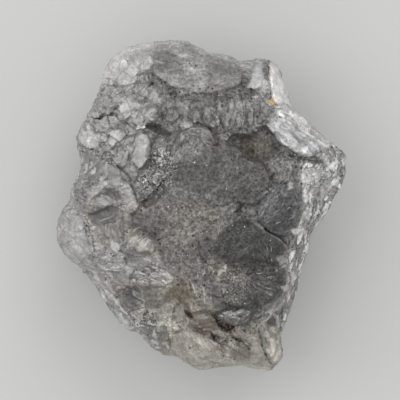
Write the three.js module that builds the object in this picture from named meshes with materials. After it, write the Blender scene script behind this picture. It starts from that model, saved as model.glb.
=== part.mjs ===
// A rough diamond: one loose crystal, as found, 5.8 mm wide, 6.6 mm long and about 3.9 mm thick.
//
// The crystal is a flattened, distorted octahedron that was partly dissolved before it cooled. Its
// crown is a broad plateau of overlapping growth terraces, each with one sharp free edge, and its
// flanks fall to a rounded girdle. The lower side is simpler: a few steep flanks with coarse growth
// steps, cut off by one flat cleavage face, on which the stone lies.
//
// It is built as two height fields over the same plan, crown and pavilion, which meet in the girdle.
// Each is triangulated over points set along the lip and the foot of every ledge, so the ledges stay
// sharp with few triangles.
//
// Units are millimetres. +Z is up and the cleavage face lies at z = 0. +Y is the long way of the
// stone. The origin is the centre of its plan.

import * as THREE from "three";

// ---- Driving dimensions ----

const GIRDLE_Z = 1.86; // mean height of the girdle, the widest line round the stone
const GIRDLE_TILT = 0.26; // how much higher the girdle lies in the east than on average
const PLATEAU_Z = 3.52; // height of the crown's plateau before its terraces are added
const PLATEAU_DOME = 0.05; // how fast the plateau falls off, mm per mm squared
const CROWN_SHOULDER = 0.46; // plan width over which the crown rounds over into the girdle
const PAVILION_SHOULDER = 0.4; // the same below the girdle
const EDGE_RISE = 0.3; // least height of the crown, and depth of the pavilion, at the shoulder
const FLANK_BLEND = 0.16; // height over which two crown planes run into each other

const LIP = 0.018; // a ledge's upper edge lies this far inside its outline
const FOOT = 0.034; // and its lower edge this far outside
const LEDGE_STEP = 0.1; // spacing of the points along a ledge
const BULGE_WIDTH = 0.34; // a bulging ledge rounds over within this distance of its edge
const CORNER_ROUNDING = 0.15; // how far an angular ledge's corners are rounded, from 0 to 1
const GIRDLE_STEP = 0.1; // spacing of the points along the girdle
const GIRDLE_RINGS = [0.045, 0.12, 0.23]; // insets of the rings of points next to the girdle
const CROWN_FILL = 0.145; // spacing of the points between the ledges of the crown
const PAVILION_FILL = 0.24; // and of the pavilion
const LEAST_GAP = 0.04; // two points are never closer than this in plan

// The girdle seen from above, anticlockwise from the east corner.
const GIRDLE = [
  [2.92, 0.86], [2.86, 1.04], [2.7, 1.19], [2.44, 1.37], [2.25, 1.57], [2.05, 1.77],
  [1.88, 1.91], [1.79, 2.04], [1.73, 2.27], [1.66, 2.52], [1.55, 2.76], [1.4, 2.89],
  [1.18, 2.94], [0.98, 2.9], [0.8, 2.88], [0.62, 2.98], [0.42, 3.03], [0.2, 3.05],
  [-0.02, 3.16], [-0.28, 3.28], [-0.58, 3.32], [-0.92, 3.28], [-1.3, 3.23], [-1.6, 3.12],
  [-1.82, 2.94], [-1.94, 2.7], [-2.0, 2.42], [-2.1, 2.13], [-2.24, 1.9], [-2.4, 1.62],
  [-2.5, 1.4], [-2.51, 1.22], [-2.46, 1.0], [-2.42, 0.8], [-2.48, 0.58], [-2.61, 0.32],
  [-2.66, 0.08], [-2.8, -0.08], [-2.89, -0.28], [-2.92, -0.5], [-2.89, -0.72], [-2.78, -0.93],
  [-2.58, -1.13], [-2.36, -1.31], [-2.2, -1.52], [-2.0, -1.82], [-1.8, -2.12], [-1.62, -2.35],
  [-1.43, -2.5], [-1.24, -2.57], [-1.1, -2.73], [-0.9, -2.92], [-0.7, -3.03], [-0.48, -3.06],
  [-0.24, -3.2], [0.02, -3.29], [0.34, -3.25], [0.7, -3.23], [1.0, -3.26], [1.26, -3.32],
  [1.43, -3.28], [1.52, -3.14], [1.64, -3.01], [1.62, -2.82], [1.61, -2.62], [1.68, -2.4],
  [1.78, -2.14], [1.87, -1.88], [1.94, -1.6], [1.99, -1.3], [2.07, -1.05], [2.16, -0.84],
  [2.19, -0.58], [2.34, -0.36], [2.53, -0.12], [2.64, 0.15], [2.77, 0.38], [2.85, 0.6],
];

// A flank is a plane that leaves the plateau, or the cleavage face, at a distance from the stone's
// axis and falls, or rises, towards a compass angle. Angles are degrees from +X, anticlockwise.
const CROWN_FLANKS = [
  { angle: 46, start: 2.12, slope: 1.1 },
  { angle: -3, start: 1.98, slope: 1.2 },
  { angle: -17, start: 1.86, slope: 1.9 },
  { angle: -86, start: 2.1, slope: 0.85 },
  { angle: -122, start: 1.7, slope: 0.9 },
  { angle: 217, start: 1.14, slope: 0.76 },
  { angle: 165, start: 1.22, slope: 0.78 },
  { angle: 128, start: 2.05, slope: 0.9 },
  { angle: 98, start: 2.3, slope: 0.95 },
];
const PAVILION_FLANKS = [
  { angle: 42, start: 1.26, slope: 1.22 },
  { angle: -16, start: 0.98, slope: 1.42 },
  { angle: -68, start: 1.72, slope: 1.05 },
  { angle: -122, start: 1.44, slope: 0.94 },
  { angle: 188, start: 1.34, slope: 0.86 },
  { angle: 146, start: 1.5, slope: 0.95 },
  { angle: 94, start: 1.72, slope: 1.0 },
];

// A ledge lifts, or where rise is negative sinks, all that lies inside its outline. With a root it
// grows out of the surface there and has its full rise at the distance reach. A bulge rounds its top
// over towards the edge. An angular ledge keeps the corners of its outline, and the others are rounded
// by dissolution.
const CROWN_LEDGES = [
  // The long tongue of the plateau, with a second layer on it.
  { rise: 0.22, bulge: 0.08, root: [0.2, -0.1], reach: 1.6, points: [
    [-0.62, 0.6], [-0.56, 0.95], [-0.5, 1.25], [-0.41, 1.42], [-0.2, 1.53], [0.02, 1.56],
    [0.17, 1.46], [0.29, 1.29], [0.44, 1.24], [0.55, 1.15], [0.73, 1.11], [0.82, 1.0],
    [0.87, 0.9], [1.02, 0.85], [1.2, 0.83], [1.28, 0.7], [1.37, 0.54], [1.37, 0.4],
    [1.28, 0.24], [1.14, 0.1], [0.94, 0.04], [0.66, 0.1], [0.2, -0.05], [-0.3, 0.02],
    [-0.62, 0.2] ] },
  { rise: 0.06, root: [0.3, 0.2], reach: 1.3, points: [
    [-0.48, 0.7], [-0.44, 1.02], [-0.32, 1.26], [-0.08, 1.38], [0.1, 1.3], [0.2, 1.14],
    [0.44, 1.04], [0.7, 0.94], [0.86, 0.72], [0.98, 0.4], [0.6, 0.2], [0.1, 0.2],
    [-0.34, 0.36] ] },
  // The plates that lie against it in the south and the east.
  { rise: 0.12, root: [-0.5, -0.1], reach: 1.2, points: [
    [0.42, 0.17], [0.58, 0.12], [0.7, 0.0], [0.67, -0.12], [0.56, -0.2], [0.4, -0.27],
    [0.1, -0.27], [-0.2, -0.18], [-0.1, 0.02], [0.15, 0.13] ] },
  { rise: 0.06, angular: true, points: [
    [0.81, -0.08], [0.94, -0.02], [1.08, 0.03], [1.09, -0.14], [1.02, -0.27], [0.84, -0.2] ] },
  { rise: 0.12, bulge: 0.06, root: [1.05, 0.6], reach: 0.8, angular: true, points: [
    [1.31, 0.82], [1.37, 0.95], [1.52, 1.0], [1.68, 0.96], [1.76, 0.8], [1.84, 0.6],
    [1.76, 0.46], [1.62, 0.43], [1.48, 0.49], [1.44, 0.62], [1.35, 0.7] ] },
  { rise: 0.13, bulge: 0.09, root: [0.95, 0.0], reach: 0.9, points: [
    [1.16, 0.1], [1.24, 0.2], [1.38, 0.27], [1.5, 0.36], [1.62, 0.35], [1.76, 0.32],
    [1.92, 0.12], [1.95, -0.14], [1.84, -0.4], [1.68, -0.58], [1.46, -0.55], [1.28, -0.46],
    [1.14, -0.34], [1.14, -0.12] ] },
  // The two low domes in the south-east.
  { rise: 0.2, bulge: 0.12, root: [0.5, -1.7], reach: 1.4, points: [
    [0.06, -0.6], [0.34, -0.36], [0.66, -0.27], [0.94, -0.29], [1.1, -0.36], [1.22, -0.48],
    [1.4, -0.6], [1.56, -0.7], [1.68, -0.82], [1.62, -0.96], [1.55, -1.1], [1.48, -1.22],
    [1.3, -1.21], [1.05, -1.15], [0.8, -1.18], [0.58, -1.13], [0.46, -1.11], [0.3, -1.16],
    [0.1, -1.1], [-0.02, -0.85] ] },
  { rise: 0.11, bulge: 0.11, points: [
    [0.19, -1.58], [0.26, -1.42], [0.34, -1.27], [0.46, -1.2], [0.6, -1.24], [0.8, -1.3],
    [1.05, -1.3], [1.35, -1.34], [1.58, -1.4], [1.67, -1.56], [1.62, -1.78], [1.42, -1.94],
    [1.17, -2.08], [1.0, -2.26], [0.78, -2.36], [0.52, -2.3], [0.32, -2.16], [0.38, -1.96],
    [0.24, -1.78] ] },
  { rise: -0.08, points: [
    [0.4, -1.94], [0.6, -1.97], [0.82, -2.02], [1.06, -2.0], [0.96, -2.16], [0.72, -2.24],
    [0.48, -2.16] ] },
  // The deep hollow behind the tongue, with a step in its floor.
  { rise: -0.24, angular: true, points: [
    [0.5, 1.24], [0.62, 1.4], [0.84, 1.37], [1.0, 1.37], [1.1, 1.45], [1.22, 1.56],
    [1.36, 1.46], [1.46, 1.34], [1.56, 1.22], [1.46, 1.08], [1.34, 1.0], [1.27, 0.9],
    [1.04, 0.91], [0.92, 0.95], [0.86, 1.06], [0.76, 1.16], [0.6, 1.2] ] },
  { rise: -0.06, angular: true, points: [
    [0.72, 1.24], [0.8, 1.33], [0.98, 1.33], [1.0, 1.14], [1.04, 0.97], [0.92, 1.02],
    [0.84, 1.12] ] },
  // The pitted slope west of the tongue, the groove beside it and the black cleft at its head.
  { rise: -0.1, root: [-1.4, 1.2], reach: 0.7, points: [
    [-1.27, 0.34], [-1.26, 0.56], [-1.1, 0.72], [-0.96, 0.98], [-0.94, 1.22], [-0.84, 1.36],
    [-0.66, 1.34], [-0.66, 0.95], [-0.74, 0.62], [-0.92, 0.38], [-1.12, 0.22] ] },
  { rise: -0.16, angular: true, points: [
    [-0.7, 0.5], [-0.72, 0.34], [-0.88, 0.08], [-1.06, -0.05], [-1.18, 0.04], [-1.0, 0.18],
    [-0.84, 0.36] ] },
  { rise: -0.14, angular: true, points: [
    [-1.05, 1.6], [-0.9, 1.6], [-0.74, 1.52], [-0.7, 1.42], [-0.8, 1.45], [-0.94, 1.5],
    [-1.04, 1.52] ] },
  // The clear north-western lobe and the broken blocks below it.
  { rise: 0.05, bulge: 0.08, points: [
    [-2.5, 2.46], [-2.0, 2.46], [-1.66, 2.4], [-1.38, 2.38], [-1.27, 2.46], [-1.25, 2.64],
    [-1.0, 2.7], [-0.98, 3.0], [-0.96, 3.5], [-2.5, 3.5] ] },
  { rise: 0.1, root: [-1.6, 1.4], reach: 0.6, angular: true, points: [
    [-2.24, 1.65], [-2.1, 1.5], [-2.04, 1.45], [-1.85, 1.45], [-1.72, 1.6], [-1.66, 1.77],
    [-1.9, 1.76], [-2.06, 1.7] ] },
  { rise: 0.11, root: [-1.6, 2.2], reach: 0.6, angular: true, points: [
    [-2.22, 1.78], [-2.12, 2.04], [-1.95, 2.2], [-1.8, 2.14], [-1.7, 1.97], [-1.73, 1.85],
    [-1.94, 1.82], [-2.06, 1.76] ] },
  { rise: 0.09, root: [-1.8, 1.3], reach: 0.6, points: [
    [-2.42, 1.36], [-2.32, 1.5], [-2.2, 1.58], [-2.1, 1.47], [-2.0, 1.38], [-2.0, 1.2],
    [-2.18, 1.14], [-2.38, 1.21] ] },
  { rise: 0.08, angular: true, points: [
    [-1.97, 1.05], [-1.92, 1.22], [-1.82, 1.26], [-1.74, 1.12], [-1.8, 0.98] ] },
  { rise: 0.13, root: [-1.8, 1.5], reach: 0.5, angular: true, points: [
    [-1.8, 1.24], [-1.76, 1.4], [-1.64, 1.5], [-1.46, 1.44], [-1.54, 1.3], [-1.64, 1.22],
    [-1.72, 1.08] ] },
  { rise: 0.15, root: [-1.7, 0.9], reach: 0.4, angular: true, points: [
    [-1.69, 0.9], [-1.57, 1.1], [-1.43, 1.32], [-1.34, 1.35], [-1.35, 1.16], [-1.43, 0.98],
    [-1.46, 0.84], [-1.56, 0.74] ] },
  { rise: 0.15, bulge: 0.06, root: [-1.5, 0.6], reach: 0.7, points: [
    [-1.3, 1.34], [-1.2, 1.42], [-1.06, 1.4], [-1.0, 1.2], [-1.0, 1.02], [-1.08, 0.84],
    [-1.23, 0.71], [-1.38, 0.95], [-1.33, 1.14] ] },
  { rise: 0.14, angular: true, points: [
    [-1.3, 1.48], [-1.24, 1.59], [-1.08, 1.6], [-1.08, 1.53], [-1.2, 1.5] ] },
  { rise: 0.1, root: [-1.4, 2.2], reach: 0.5, angular: true, points: [
    [-1.63, 1.8], [-1.64, 1.94], [-1.52, 2.04], [-1.4, 1.97], [-1.33, 1.84], [-1.42, 1.71],
    [-1.56, 1.71] ] },
  { rise: 0.14, root: [-1.0, 1.6], reach: 0.4, angular: true, points: [
    [-1.22, 1.76], [-1.14, 1.92], [-0.98, 2.02], [-0.84, 1.94], [-0.82, 1.78], [-1.0, 1.7] ] },
  { rise: 0.1, angular: true, points: [
    [-0.7, 1.7], [-0.62, 1.92], [-0.48, 1.96], [-0.44, 1.76], [-0.56, 1.62] ] },
  { rise: 0.08, angular: true, points: [
    [-1.98, 2.4], [-1.8, 2.39], [-1.64, 2.3], [-1.76, 2.22], [-1.96, 2.24] ] },
  { rise: 0.09, angular: true, points: [
    [-1.56, 2.2], [-1.42, 2.28], [-1.3, 2.14], [-1.34, 2.08], [-1.5, 2.1] ] },
  { rise: 0.11, points: [
    [-1.22, 2.42], [-1.15, 2.6], [-1.02, 2.6], [-0.98, 2.44], [-1.06, 2.34] ] },
  { rise: 0.09, points: [
    [-1.35, 2.3], [-1.24, 2.38], [-1.08, 2.3], [-1.04, 2.14], [-1.16, 2.12], [-1.28, 2.16] ] },
  // The barred slope between the tongue and the northern lobe.
  { rise: 0.09, root: [-0.1, 2.3], reach: 0.7, angular: true, points: [
    [-0.22, 1.68], [-0.19, 1.9], [-0.09, 2.02], [-0.02, 1.86], [0.0, 1.66], [-0.12, 1.61] ] },
  { rise: 0.1, root: [0.3, 2.3], reach: 0.7, angular: true, points: [
    [0.06, 1.64], [0.1, 1.84], [0.22, 1.92], [0.36, 1.8], [0.4, 1.64], [0.24, 1.52] ] },
  { rise: 0.08, root: [0.6, 2.6], reach: 1.0, angular: true, points: [
    [0.46, 1.58], [0.47, 1.95], [0.55, 2.17], [0.64, 2.08], [0.66, 1.8], [0.63, 1.54],
    [0.54, 1.47] ] },
  { rise: 0.08, root: [0.8, 2.6], reach: 1.0, angular: true, points: [
    [0.7, 1.56], [0.71, 1.95], [0.8, 2.16], [0.88, 2.04], [0.86, 1.76], [0.82, 1.5] ] },
  { rise: 0.09, root: [1.0, 2.6], reach: 1.0, angular: true, points: [
    [0.9, 1.5], [0.92, 1.78], [0.98, 1.98], [1.05, 1.86], [1.06, 1.62], [1.0, 1.46] ] },
  { rise: 0.08, root: [1.2, 2.4], reach: 0.8, angular: true, points: [
    [1.1, 1.6], [1.11, 1.84], [1.18, 1.96], [1.26, 1.8], [1.22, 1.64] ] },
  { rise: 0.09, bulge: 0.08, root: [-0.1, 2.0], reach: 0.9, points: [
    [-0.93, 2.64], [-0.94, 2.9], [-0.84, 3.08], [-0.5, 3.12], [-0.14, 3.04], [0.12, 2.9],
    [0.4, 2.88], [0.6, 2.84], [0.74, 2.64], [0.77, 2.42], [0.5, 2.28], [-0.1, 2.24],
    [-0.6, 2.36] ] },
  { rise: 0.06, root: [-0.3, 2.6], reach: 0.5, angular: true, points: [
    [-0.64, 2.86], [-0.54, 2.99], [-0.32, 2.98], [-0.2, 2.88], [-0.34, 2.78] ] },
  // The bright facets of the north-east flank.
  { rise: 0.12, root: [0.9, 2.5], reach: 0.3, angular: true, points: [
    [0.94, 2.32], [1.0, 2.5], [1.05, 2.66], [1.08, 2.78], [1.17, 2.84], [1.2, 2.7],
    [1.2, 2.5], [1.17, 2.32], [1.06, 2.28] ] },
  { rise: 0.12, angular: true, points: [
    [1.38, 2.76], [1.5, 2.66], [1.6, 2.46], [1.66, 2.22], [1.64, 2.04], [1.52, 1.98],
    [1.44, 2.1], [1.4, 2.3], [1.37, 2.55] ] },
  { rise: 0.13, root: [2.0, 1.7], reach: 0.45, angular: true, points: [
    [1.28, 1.6], [1.42, 1.66], [1.7, 1.62], [1.98, 1.46], [2.26, 1.24], [2.3, 1.08],
    [2.2, 1.0], [2.0, 1.0], [1.84, 1.06], [1.64, 1.18], [1.52, 1.28], [1.42, 1.42] ] },
  { rise: 0.07, angular: true, points: [
    [1.6, 1.84], [1.74, 1.94], [1.86, 1.84], [2.0, 1.66], [1.84, 1.68] ] },
  { rise: 0.08, angular: true, points: [
    [2.36, 1.24], [2.5, 1.2], [2.68, 1.06], [2.76, 0.9], [2.6, 0.9], [2.44, 1.02] ] },
  // Slabs on the eastern flank.
  { rise: 0.11, root: [2.0, 0.6], reach: 0.6, angular: true, points: [
    [2.04, 0.88], [2.3, 0.9], [2.56, 0.76], [2.6, 0.56], [2.44, 0.38], [2.2, 0.34],
    [2.04, 0.46], [2.02, 0.72] ] },
  { rise: 0.08, angular: true, points: [
    [2.06, 0.16], [2.3, 0.22], [2.38, 0.04], [2.24, -0.18], [2.08, -0.24], [2.0, -0.06] ] },
  { rise: 0.09, angular: true, points: [
    [1.78, -0.48], [1.94, -0.42], [2.06, -0.52], [2.04, -0.74], [1.92, -0.92], [1.8, -0.84],
    [1.74, -0.68] ] },
  { rise: 0.08, angular: true, points: [
    [1.7, -1.02], [1.84, -1.04], [1.88, -1.3], [1.82, -1.62], [1.74, -1.56], [1.68, -1.3] ] },
  // The clear western lobe, its two angular facets and the smooth hollow below them.
  { rise: 0.13, bulge: 0.07, root: [-2.6, 0.1], reach: 1.1, points: [
    [-2.4, 1.14], [-2.26, 1.12], [-2.1, 1.07], [-1.98, 0.98], [-1.88, 0.92], [-1.76, 0.88],
    [-1.64, 0.74], [-1.5, 0.64], [-1.41, 0.5], [-1.34, 0.34], [-1.29, 0.18], [-1.22, 0.0],
    [-1.3, -0.14], [-1.52, -0.1], [-1.7, -0.02], [-1.9, -0.06], [-2.16, -0.16],
    [-2.36, -0.12], [-2.54, -0.02], [-2.54, 0.3], [-2.4, 0.6], [-2.34, 0.84] ] },
  { rise: 0.08, angular: true, points: [
    [-2.2, 0.02], [-2.0, 0.16], [-1.9, 0.22], [-1.76, 0.18], [-1.63, 0.06], [-1.74, 0.02],
    [-1.96, -0.02] ] },
  { rise: 0.07, angular: true, points: [
    [-2.0, 0.5], [-1.8, 0.5], [-1.54, 0.44], [-1.5, 0.34], [-1.64, 0.28], [-1.8, 0.3],
    [-1.92, 0.4] ] },
  { rise: -0.07, root: [-2.1, -0.65], reach: 0.9, angular: true, points: [
    [-2.26, -0.24], [-2.06, -0.14], [-1.82, -0.06], [-1.64, -0.04], [-1.58, -0.3],
    [-1.7, -0.42], [-1.86, -0.56], [-2.1, -0.6], [-2.24, -0.44] ] },
  // Shell-shaped chips of the south-western flank.
  { rise: 0.08, root: [-0.6, -0.5], reach: 1.0, angular: true, points: [
    [-1.54, -0.62], [-1.4, -0.5], [-1.1, -0.52], [-0.86, -0.7], [-0.94, -0.88], [-1.16, -0.96],
    [-1.34, -0.98], [-1.5, -0.9] ] },
  { rise: 0.07, root: [-2.2, -0.7], reach: 0.6, angular: true, points: [
    [-1.98, -0.7], [-1.72, -0.66], [-1.6, -0.8], [-1.62, -0.94], [-1.86, -0.9] ] },
  { rise: -0.06, root: [-1.3, -1.0], reach: 0.4, angular: true, points: [
    [-1.24, -1.08], [-1.1, -1.1], [-0.98, -1.24], [-0.94, -1.36], [-1.12, -1.34] ] },
  { rise: 0.1, root: [-0.2, -1.0], reach: 0.9, angular: true, points: [
    [-1.4, -1.46], [-1.2, -1.46], [-1.0, -1.34], [-0.76, -1.24], [-0.48, -1.42],
    [-0.66, -1.56], [-0.96, -1.6], [-1.22, -1.58] ] },
  { rise: -0.08, root: [-1.7, -1.6], reach: 0.6, angular: true, points: [
    [-1.56, -1.8], [-1.42, -1.64], [-1.24, -1.66], [-1.15, -1.86], [-1.2, -2.0], [-1.4, -1.96] ] },
  { rise: 0.04, bulge: 0.07, points: [
    [-2.7, -1.5], [-2.2, -1.42], [-2.0, -1.34], [-1.84, -1.42], [-1.78, -1.6], [-1.86, -1.8],
    [-1.9, -2.3], [-2.7, -2.3] ] },
  { rise: 0.05, bulge: 0.1, points: [
    [-3.3, -0.04], [-2.6, -0.1], [-2.4, -0.22], [-2.32, -0.44], [-2.26, -0.7], [-2.2, -0.92],
    [-2.26, -1.14], [-2.5, -1.4], [-3.3, -1.3] ] },
  { rise: 0.09, root: [-1.9, -0.8], reach: 0.6, points: [
    [-2.16, -0.9], [-1.94, -0.96], [-1.66, -1.0], [-1.5, -1.06], [-1.48, -1.18], [-1.62, -1.3],
    [-1.8, -1.34], [-2.0, -1.28], [-2.14, -1.14] ] },
  { rise: 0.08, root: [-1.0, -1.9], reach: 0.5, angular: true, points: [
    [-1.36, -2.3], [-1.24, -2.1], [-1.04, -2.06], [-0.86, -2.18], [-0.92, -2.34], [-1.1, -2.36],
    [-1.26, -2.42] ] },
  // The stained southern lobe with its clefts.
  { rise: 0.08, bulge: 0.09, root: [0.0, -3.3], reach: 0.7, points: [
    [-0.62, -2.76], [-0.56, -2.6], [-0.42, -2.5], [-0.28, -2.43], [0.0, -2.5], [0.2, -2.62],
    [0.38, -2.74], [0.44, -2.9], [0.3, -3.02], [0.0, -3.08], [-0.3, -3.0], [-0.52, -2.88] ] },
  { rise: 0.08, angular: true, points: [
    [-1.04, -2.58], [-0.86, -2.46], [-0.68, -2.54], [-0.66, -2.72], [-0.82, -2.8],
    [-0.98, -2.72] ] },
  { rise: -0.09, angular: true, points: [
    [-0.53, -2.04], [-0.4, -1.9], [-0.32, -2.02], [-0.32, -2.36], [-0.42, -2.38],
    [-0.56, -2.26] ] },
  { rise: 0.1, root: [-0.2, -2.6], reach: 0.5, angular: true, points: [
    [-0.14, -2.12], [0.06, -2.06], [0.22, -2.16], [0.32, -2.3], [0.42, -2.44], [0.2, -2.5],
    [-0.06, -2.42] ] },
  { rise: -0.1, angular: true, points: [[0.36, -2.36], [0.5, -2.31], [0.64, -2.4], [0.5, -2.47]] },
  { rise: -0.09, points: [[0.17, -2.54], [0.28, -2.55], [0.38, -2.65], [0.26, -2.64]] },
  { rise: -0.09, points: [[0.58, -2.6], [0.8, -2.63], [0.97, -2.75], [0.76, -2.72]] },
  { rise: -0.08, points: [[-0.34, -2.06], [-0.22, -2.07], [-0.16, -2.18], [-0.28, -2.17]] },
  { rise: 0.09, angular: true, points: [
    [0.5, -2.86], [0.62, -2.76], [0.82, -2.82], [0.97, -2.94], [0.86, -3.02], [0.6, -3.0] ] },
  { rise: 0.12, root: [1.6, -2.4], reach: 0.45, angular: true, points: [
    [1.1, -2.42], [1.26, -2.24], [1.4, -2.14], [1.52, -2.24], [1.54, -2.5], [1.5, -2.8],
    [1.42, -3.06], [1.3, -2.98], [1.2, -2.74] ] },
  { rise: -0.08, points: [
    [1.28, -2.34], [1.38, -2.22], [1.46, -2.3], [1.46, -2.46], [1.36, -2.52] ] },
];

// The cleavage face, and the growth layers of the pavilion. Their outlines run out past the girdle,
// so that only the edge of each layer that faces the cleavage shows.
const CLEAVAGE_FACE = [
  [1.04, 0.06], [1.1, 0.62], [0.78, 1.24], [0.16, 1.62], [-0.66, 1.56], [-1.24, 1.06],
  [-1.44, 0.3], [-1.3, -0.62], [-0.84, -1.34], [-0.06, -1.7], [0.6, -1.52], [0.92, -0.76],
];
const PAVILION_LEDGES = [
  { rise: 0.1, points: [
    [-1.9, 3.6], [-1.56, 2.6], [-1.1, 2.14], [-0.4, 2.1], [0.2, 2.3], [0.7, 2.16], [1.16, 2.4],
    [1.5, 3.6] ] },
  { rise: 0.07, points: [
    [-1.2, 3.7], [-0.86, 2.76], [-0.3, 2.6], [0.16, 2.76], [0.5, 3.6] ] },
  { rise: 0.11, points: [
    [1.3, 2.7], [1.5, 1.9], [1.42, 1.4], [1.6, 0.8], [1.66, 0.3], [2.0, -0.1], [3.3, 0.0],
    [3.2, 1.6] ] },
  { rise: 0.08, points: [
    [1.9, 2.0], [1.86, 1.4], [2.06, 0.9], [2.4, 0.6], [3.3, 0.6], [3.0, 1.8] ] },
  { rise: 0.09, points: [
    [2.7, -0.6], [1.84, -0.66], [1.54, -1.1], [1.52, -1.6], [1.36, -2.0], [1.7, -2.7],
    [2.6, -2.0] ] },
  { rise: 0.1, points: [
    [-0.9, -3.6], [-0.66, -2.7], [-0.24, -2.26], [0.3, -2.2], [0.76, -2.4], [1.04, -2.8],
    [1.3, -3.6] ] },
  { rise: 0.07, points: [
    [-0.3, -3.6], [-0.06, -2.84], [0.36, -2.72], [0.6, -3.0], [0.7, -3.7] ] },
  { rise: 0.09, points: [
    [-2.4, -2.3], [-1.84, -1.8], [-1.3, -1.72], [-1.0, -2.1], [-1.0, -2.9], [-1.9, -3.0] ] },
  { rise: 0.1, points: [
    [-3.4, 0.6], [-2.3, 0.6], [-1.94, 0.24], [-1.86, -0.4], [-2.0, -0.96], [-2.4, -1.3],
    [-3.3, -1.3] ] },
  { rise: 0.07, points: [
    [-3.3, 0.1], [-2.5, 0.06], [-2.34, -0.36], [-2.52, -0.8], [-3.3, -0.8] ] },
  { rise: 0.1, points: [
    [-3.0, 2.4], [-2.1, 2.2], [-1.86, 1.8], [-1.96, 1.3], [-2.2, 0.9], [-3.0, 0.8] ] },
  // Three-cornered etch pits.
  { rise: -0.06, angular: true, points: [[1.7, 0.96], [2.04, 0.74], [1.8, 0.42]] },
  { rise: -0.05, angular: true, points: [[0.0, -2.44], [0.36, -2.46], [0.16, -2.74]] },
  { rise: -0.05, angular: true, points: [[-0.56, 2.44], [-0.2, 2.52], [-0.42, 2.2]] },
];

// ---- Plan geometry ----

// A closed line through [x, y] points, as evenly spaced points with their outward normals.
function closedLine(points, spacing, angular) {
  const knots = points.map(([x, y]) => new THREE.Vector3(x, y, 0));
  const curve = new THREE.CatmullRomCurve3(knots, true, angular ? "catmullrom" : "centripetal");
  curve.tension = CORNER_ROUNDING;
  const count = Math.round(curve.getLength() / spacing);
  const turn = THREE.ShapeUtils.isClockWise(knots) ? -1 : 1;
  return Array.from({ length: count }, (_, i) => {
    const { x, y } = curve.getPointAt(i / count);
    const tangent = curve.getTangentAt(i / count);
    return { x, y, nx: turn * tangent.y, ny: -turn * tangent.x };
  });
}

function isInside(x, y, loop) {
  let inside = false;
  for (let i = 0, j = loop.length - 1; i < loop.length; j = i++) {
    const a = loop[i];
    const b = loop[j];
    const crosses = a.y > y !== b.y > y;
    if (crosses && x < ((b.x - a.x) * (y - a.y)) / (b.y - a.y) + a.x) inside = !inside;
  }
  return inside;
}

function distanceTo(loop, x, y) {
  return Math.min(...loop.map((p) => Math.hypot(p.x - x, p.y - y)));
}

const girdle = closedLine(GIRDLE, GIRDLE_STEP);

// ---- Heights ----

function girdleHeight(x, y) {
  const angle = Math.atan2(y, x);
  const waves = 0.07 * Math.sin(3 * angle + 1) + 0.035 * Math.sin(7 * angle) * Math.cos(4 * angle);
  return GIRDLE_Z + GIRDLE_TILT * Math.cos(angle - 0.2) + waves;
}

function alongFlank({ angle, start }, x, y) {
  const turn = THREE.MathUtils.degToRad(angle);
  return x * Math.cos(turn) + y * Math.sin(turn) - start;
}

function smoothMin(a, b, blend) {
  const mix = Math.max(blend - Math.abs(a - b), 0) / blend;
  return Math.min(a, b) - (mix * mix * blend) / 4;
}

// Keeps the stone's edge and corners from running out thinner than EDGE_RISE on either side.
const leastRise = (rise) => -smoothMin(-rise, -EDGE_RISE, EDGE_RISE);

// Low waves that keep the planes from being flat, as dissolved faces never are.
function swell(x, y) {
  return (
    0.03 * Math.sin(2.1 * x + 1.3 * y + 0.6) * Math.sin(1.7 * y - 0.9 * x) +
    0.018 * Math.sin(5.2 * x - 2.4 * y) * Math.sin(4.4 * y + 1.6 * x + 1.1)
  );
}

// A quarter-round profile: 0 on the loop and 1 from the given width inwards.
function quarterRound(x, y, loop, width) {
  const inward = Math.min(distanceTo(loop, x, y) / width, 1);
  return Math.sqrt(1 - (1 - inward) ** 2);
}

function riseOf(ledges, x, y) {
  let total = 0;
  for (const { rise, root, reach, bulge, loop } of ledges) {
    if (!isInside(x, y, loop)) continue;
    const share = root ? Math.hypot(x - root[0], y - root[1]) / reach : 1;
    total += rise * Math.min(share, 1);
    if (bulge) total += bulge * quarterRound(x, y, loop, BULGE_WIDTH);
  }
  return total;
}

const withLoops = (ledges) =>
  ledges.map((ledge) => ({ ...ledge, loop: closedLine(ledge.points, LEDGE_STEP, ledge.angular) }));
const crownLedges = withLoops(CROWN_LEDGES);
const pavilionLedges = withLoops(PAVILION_LEDGES);
const cleavageFace = closedLine(CLEAVAGE_FACE, LEDGE_STEP);

function crownHeight(x, y) {
  let z = PLATEAU_Z - PLATEAU_DOME * (x * x + y * y);
  for (const flank of CROWN_FLANKS) {
    z = smoothMin(z, PLATEAU_Z - flank.slope * alongFlank(flank, x, y), FLANK_BLEND);
  }
  z += swell(x, y) + riseOf(crownLedges, x, y);
  const base = girdleHeight(x, y);
  return base + leastRise(z - base) * quarterRound(x, y, girdle, CROWN_SHOULDER);
}

function pavilionHeight(x, y) {
  if (isInside(x, y, cleavageFace)) return 0;
  const flanks = PAVILION_FLANKS.map((flank) => flank.slope * alongFlank(flank, x, y));
  const z = Math.max(Math.max(...flanks) + swell(y, x) - riseOf(pavilionLedges, x, y), 0.06);
  const base = girdleHeight(x, y);
  return base - leastRise(base - z) * quarterRound(x, y, girdle, PAVILION_SHOULDER);
}

// ---- Points over the plan ----

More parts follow.
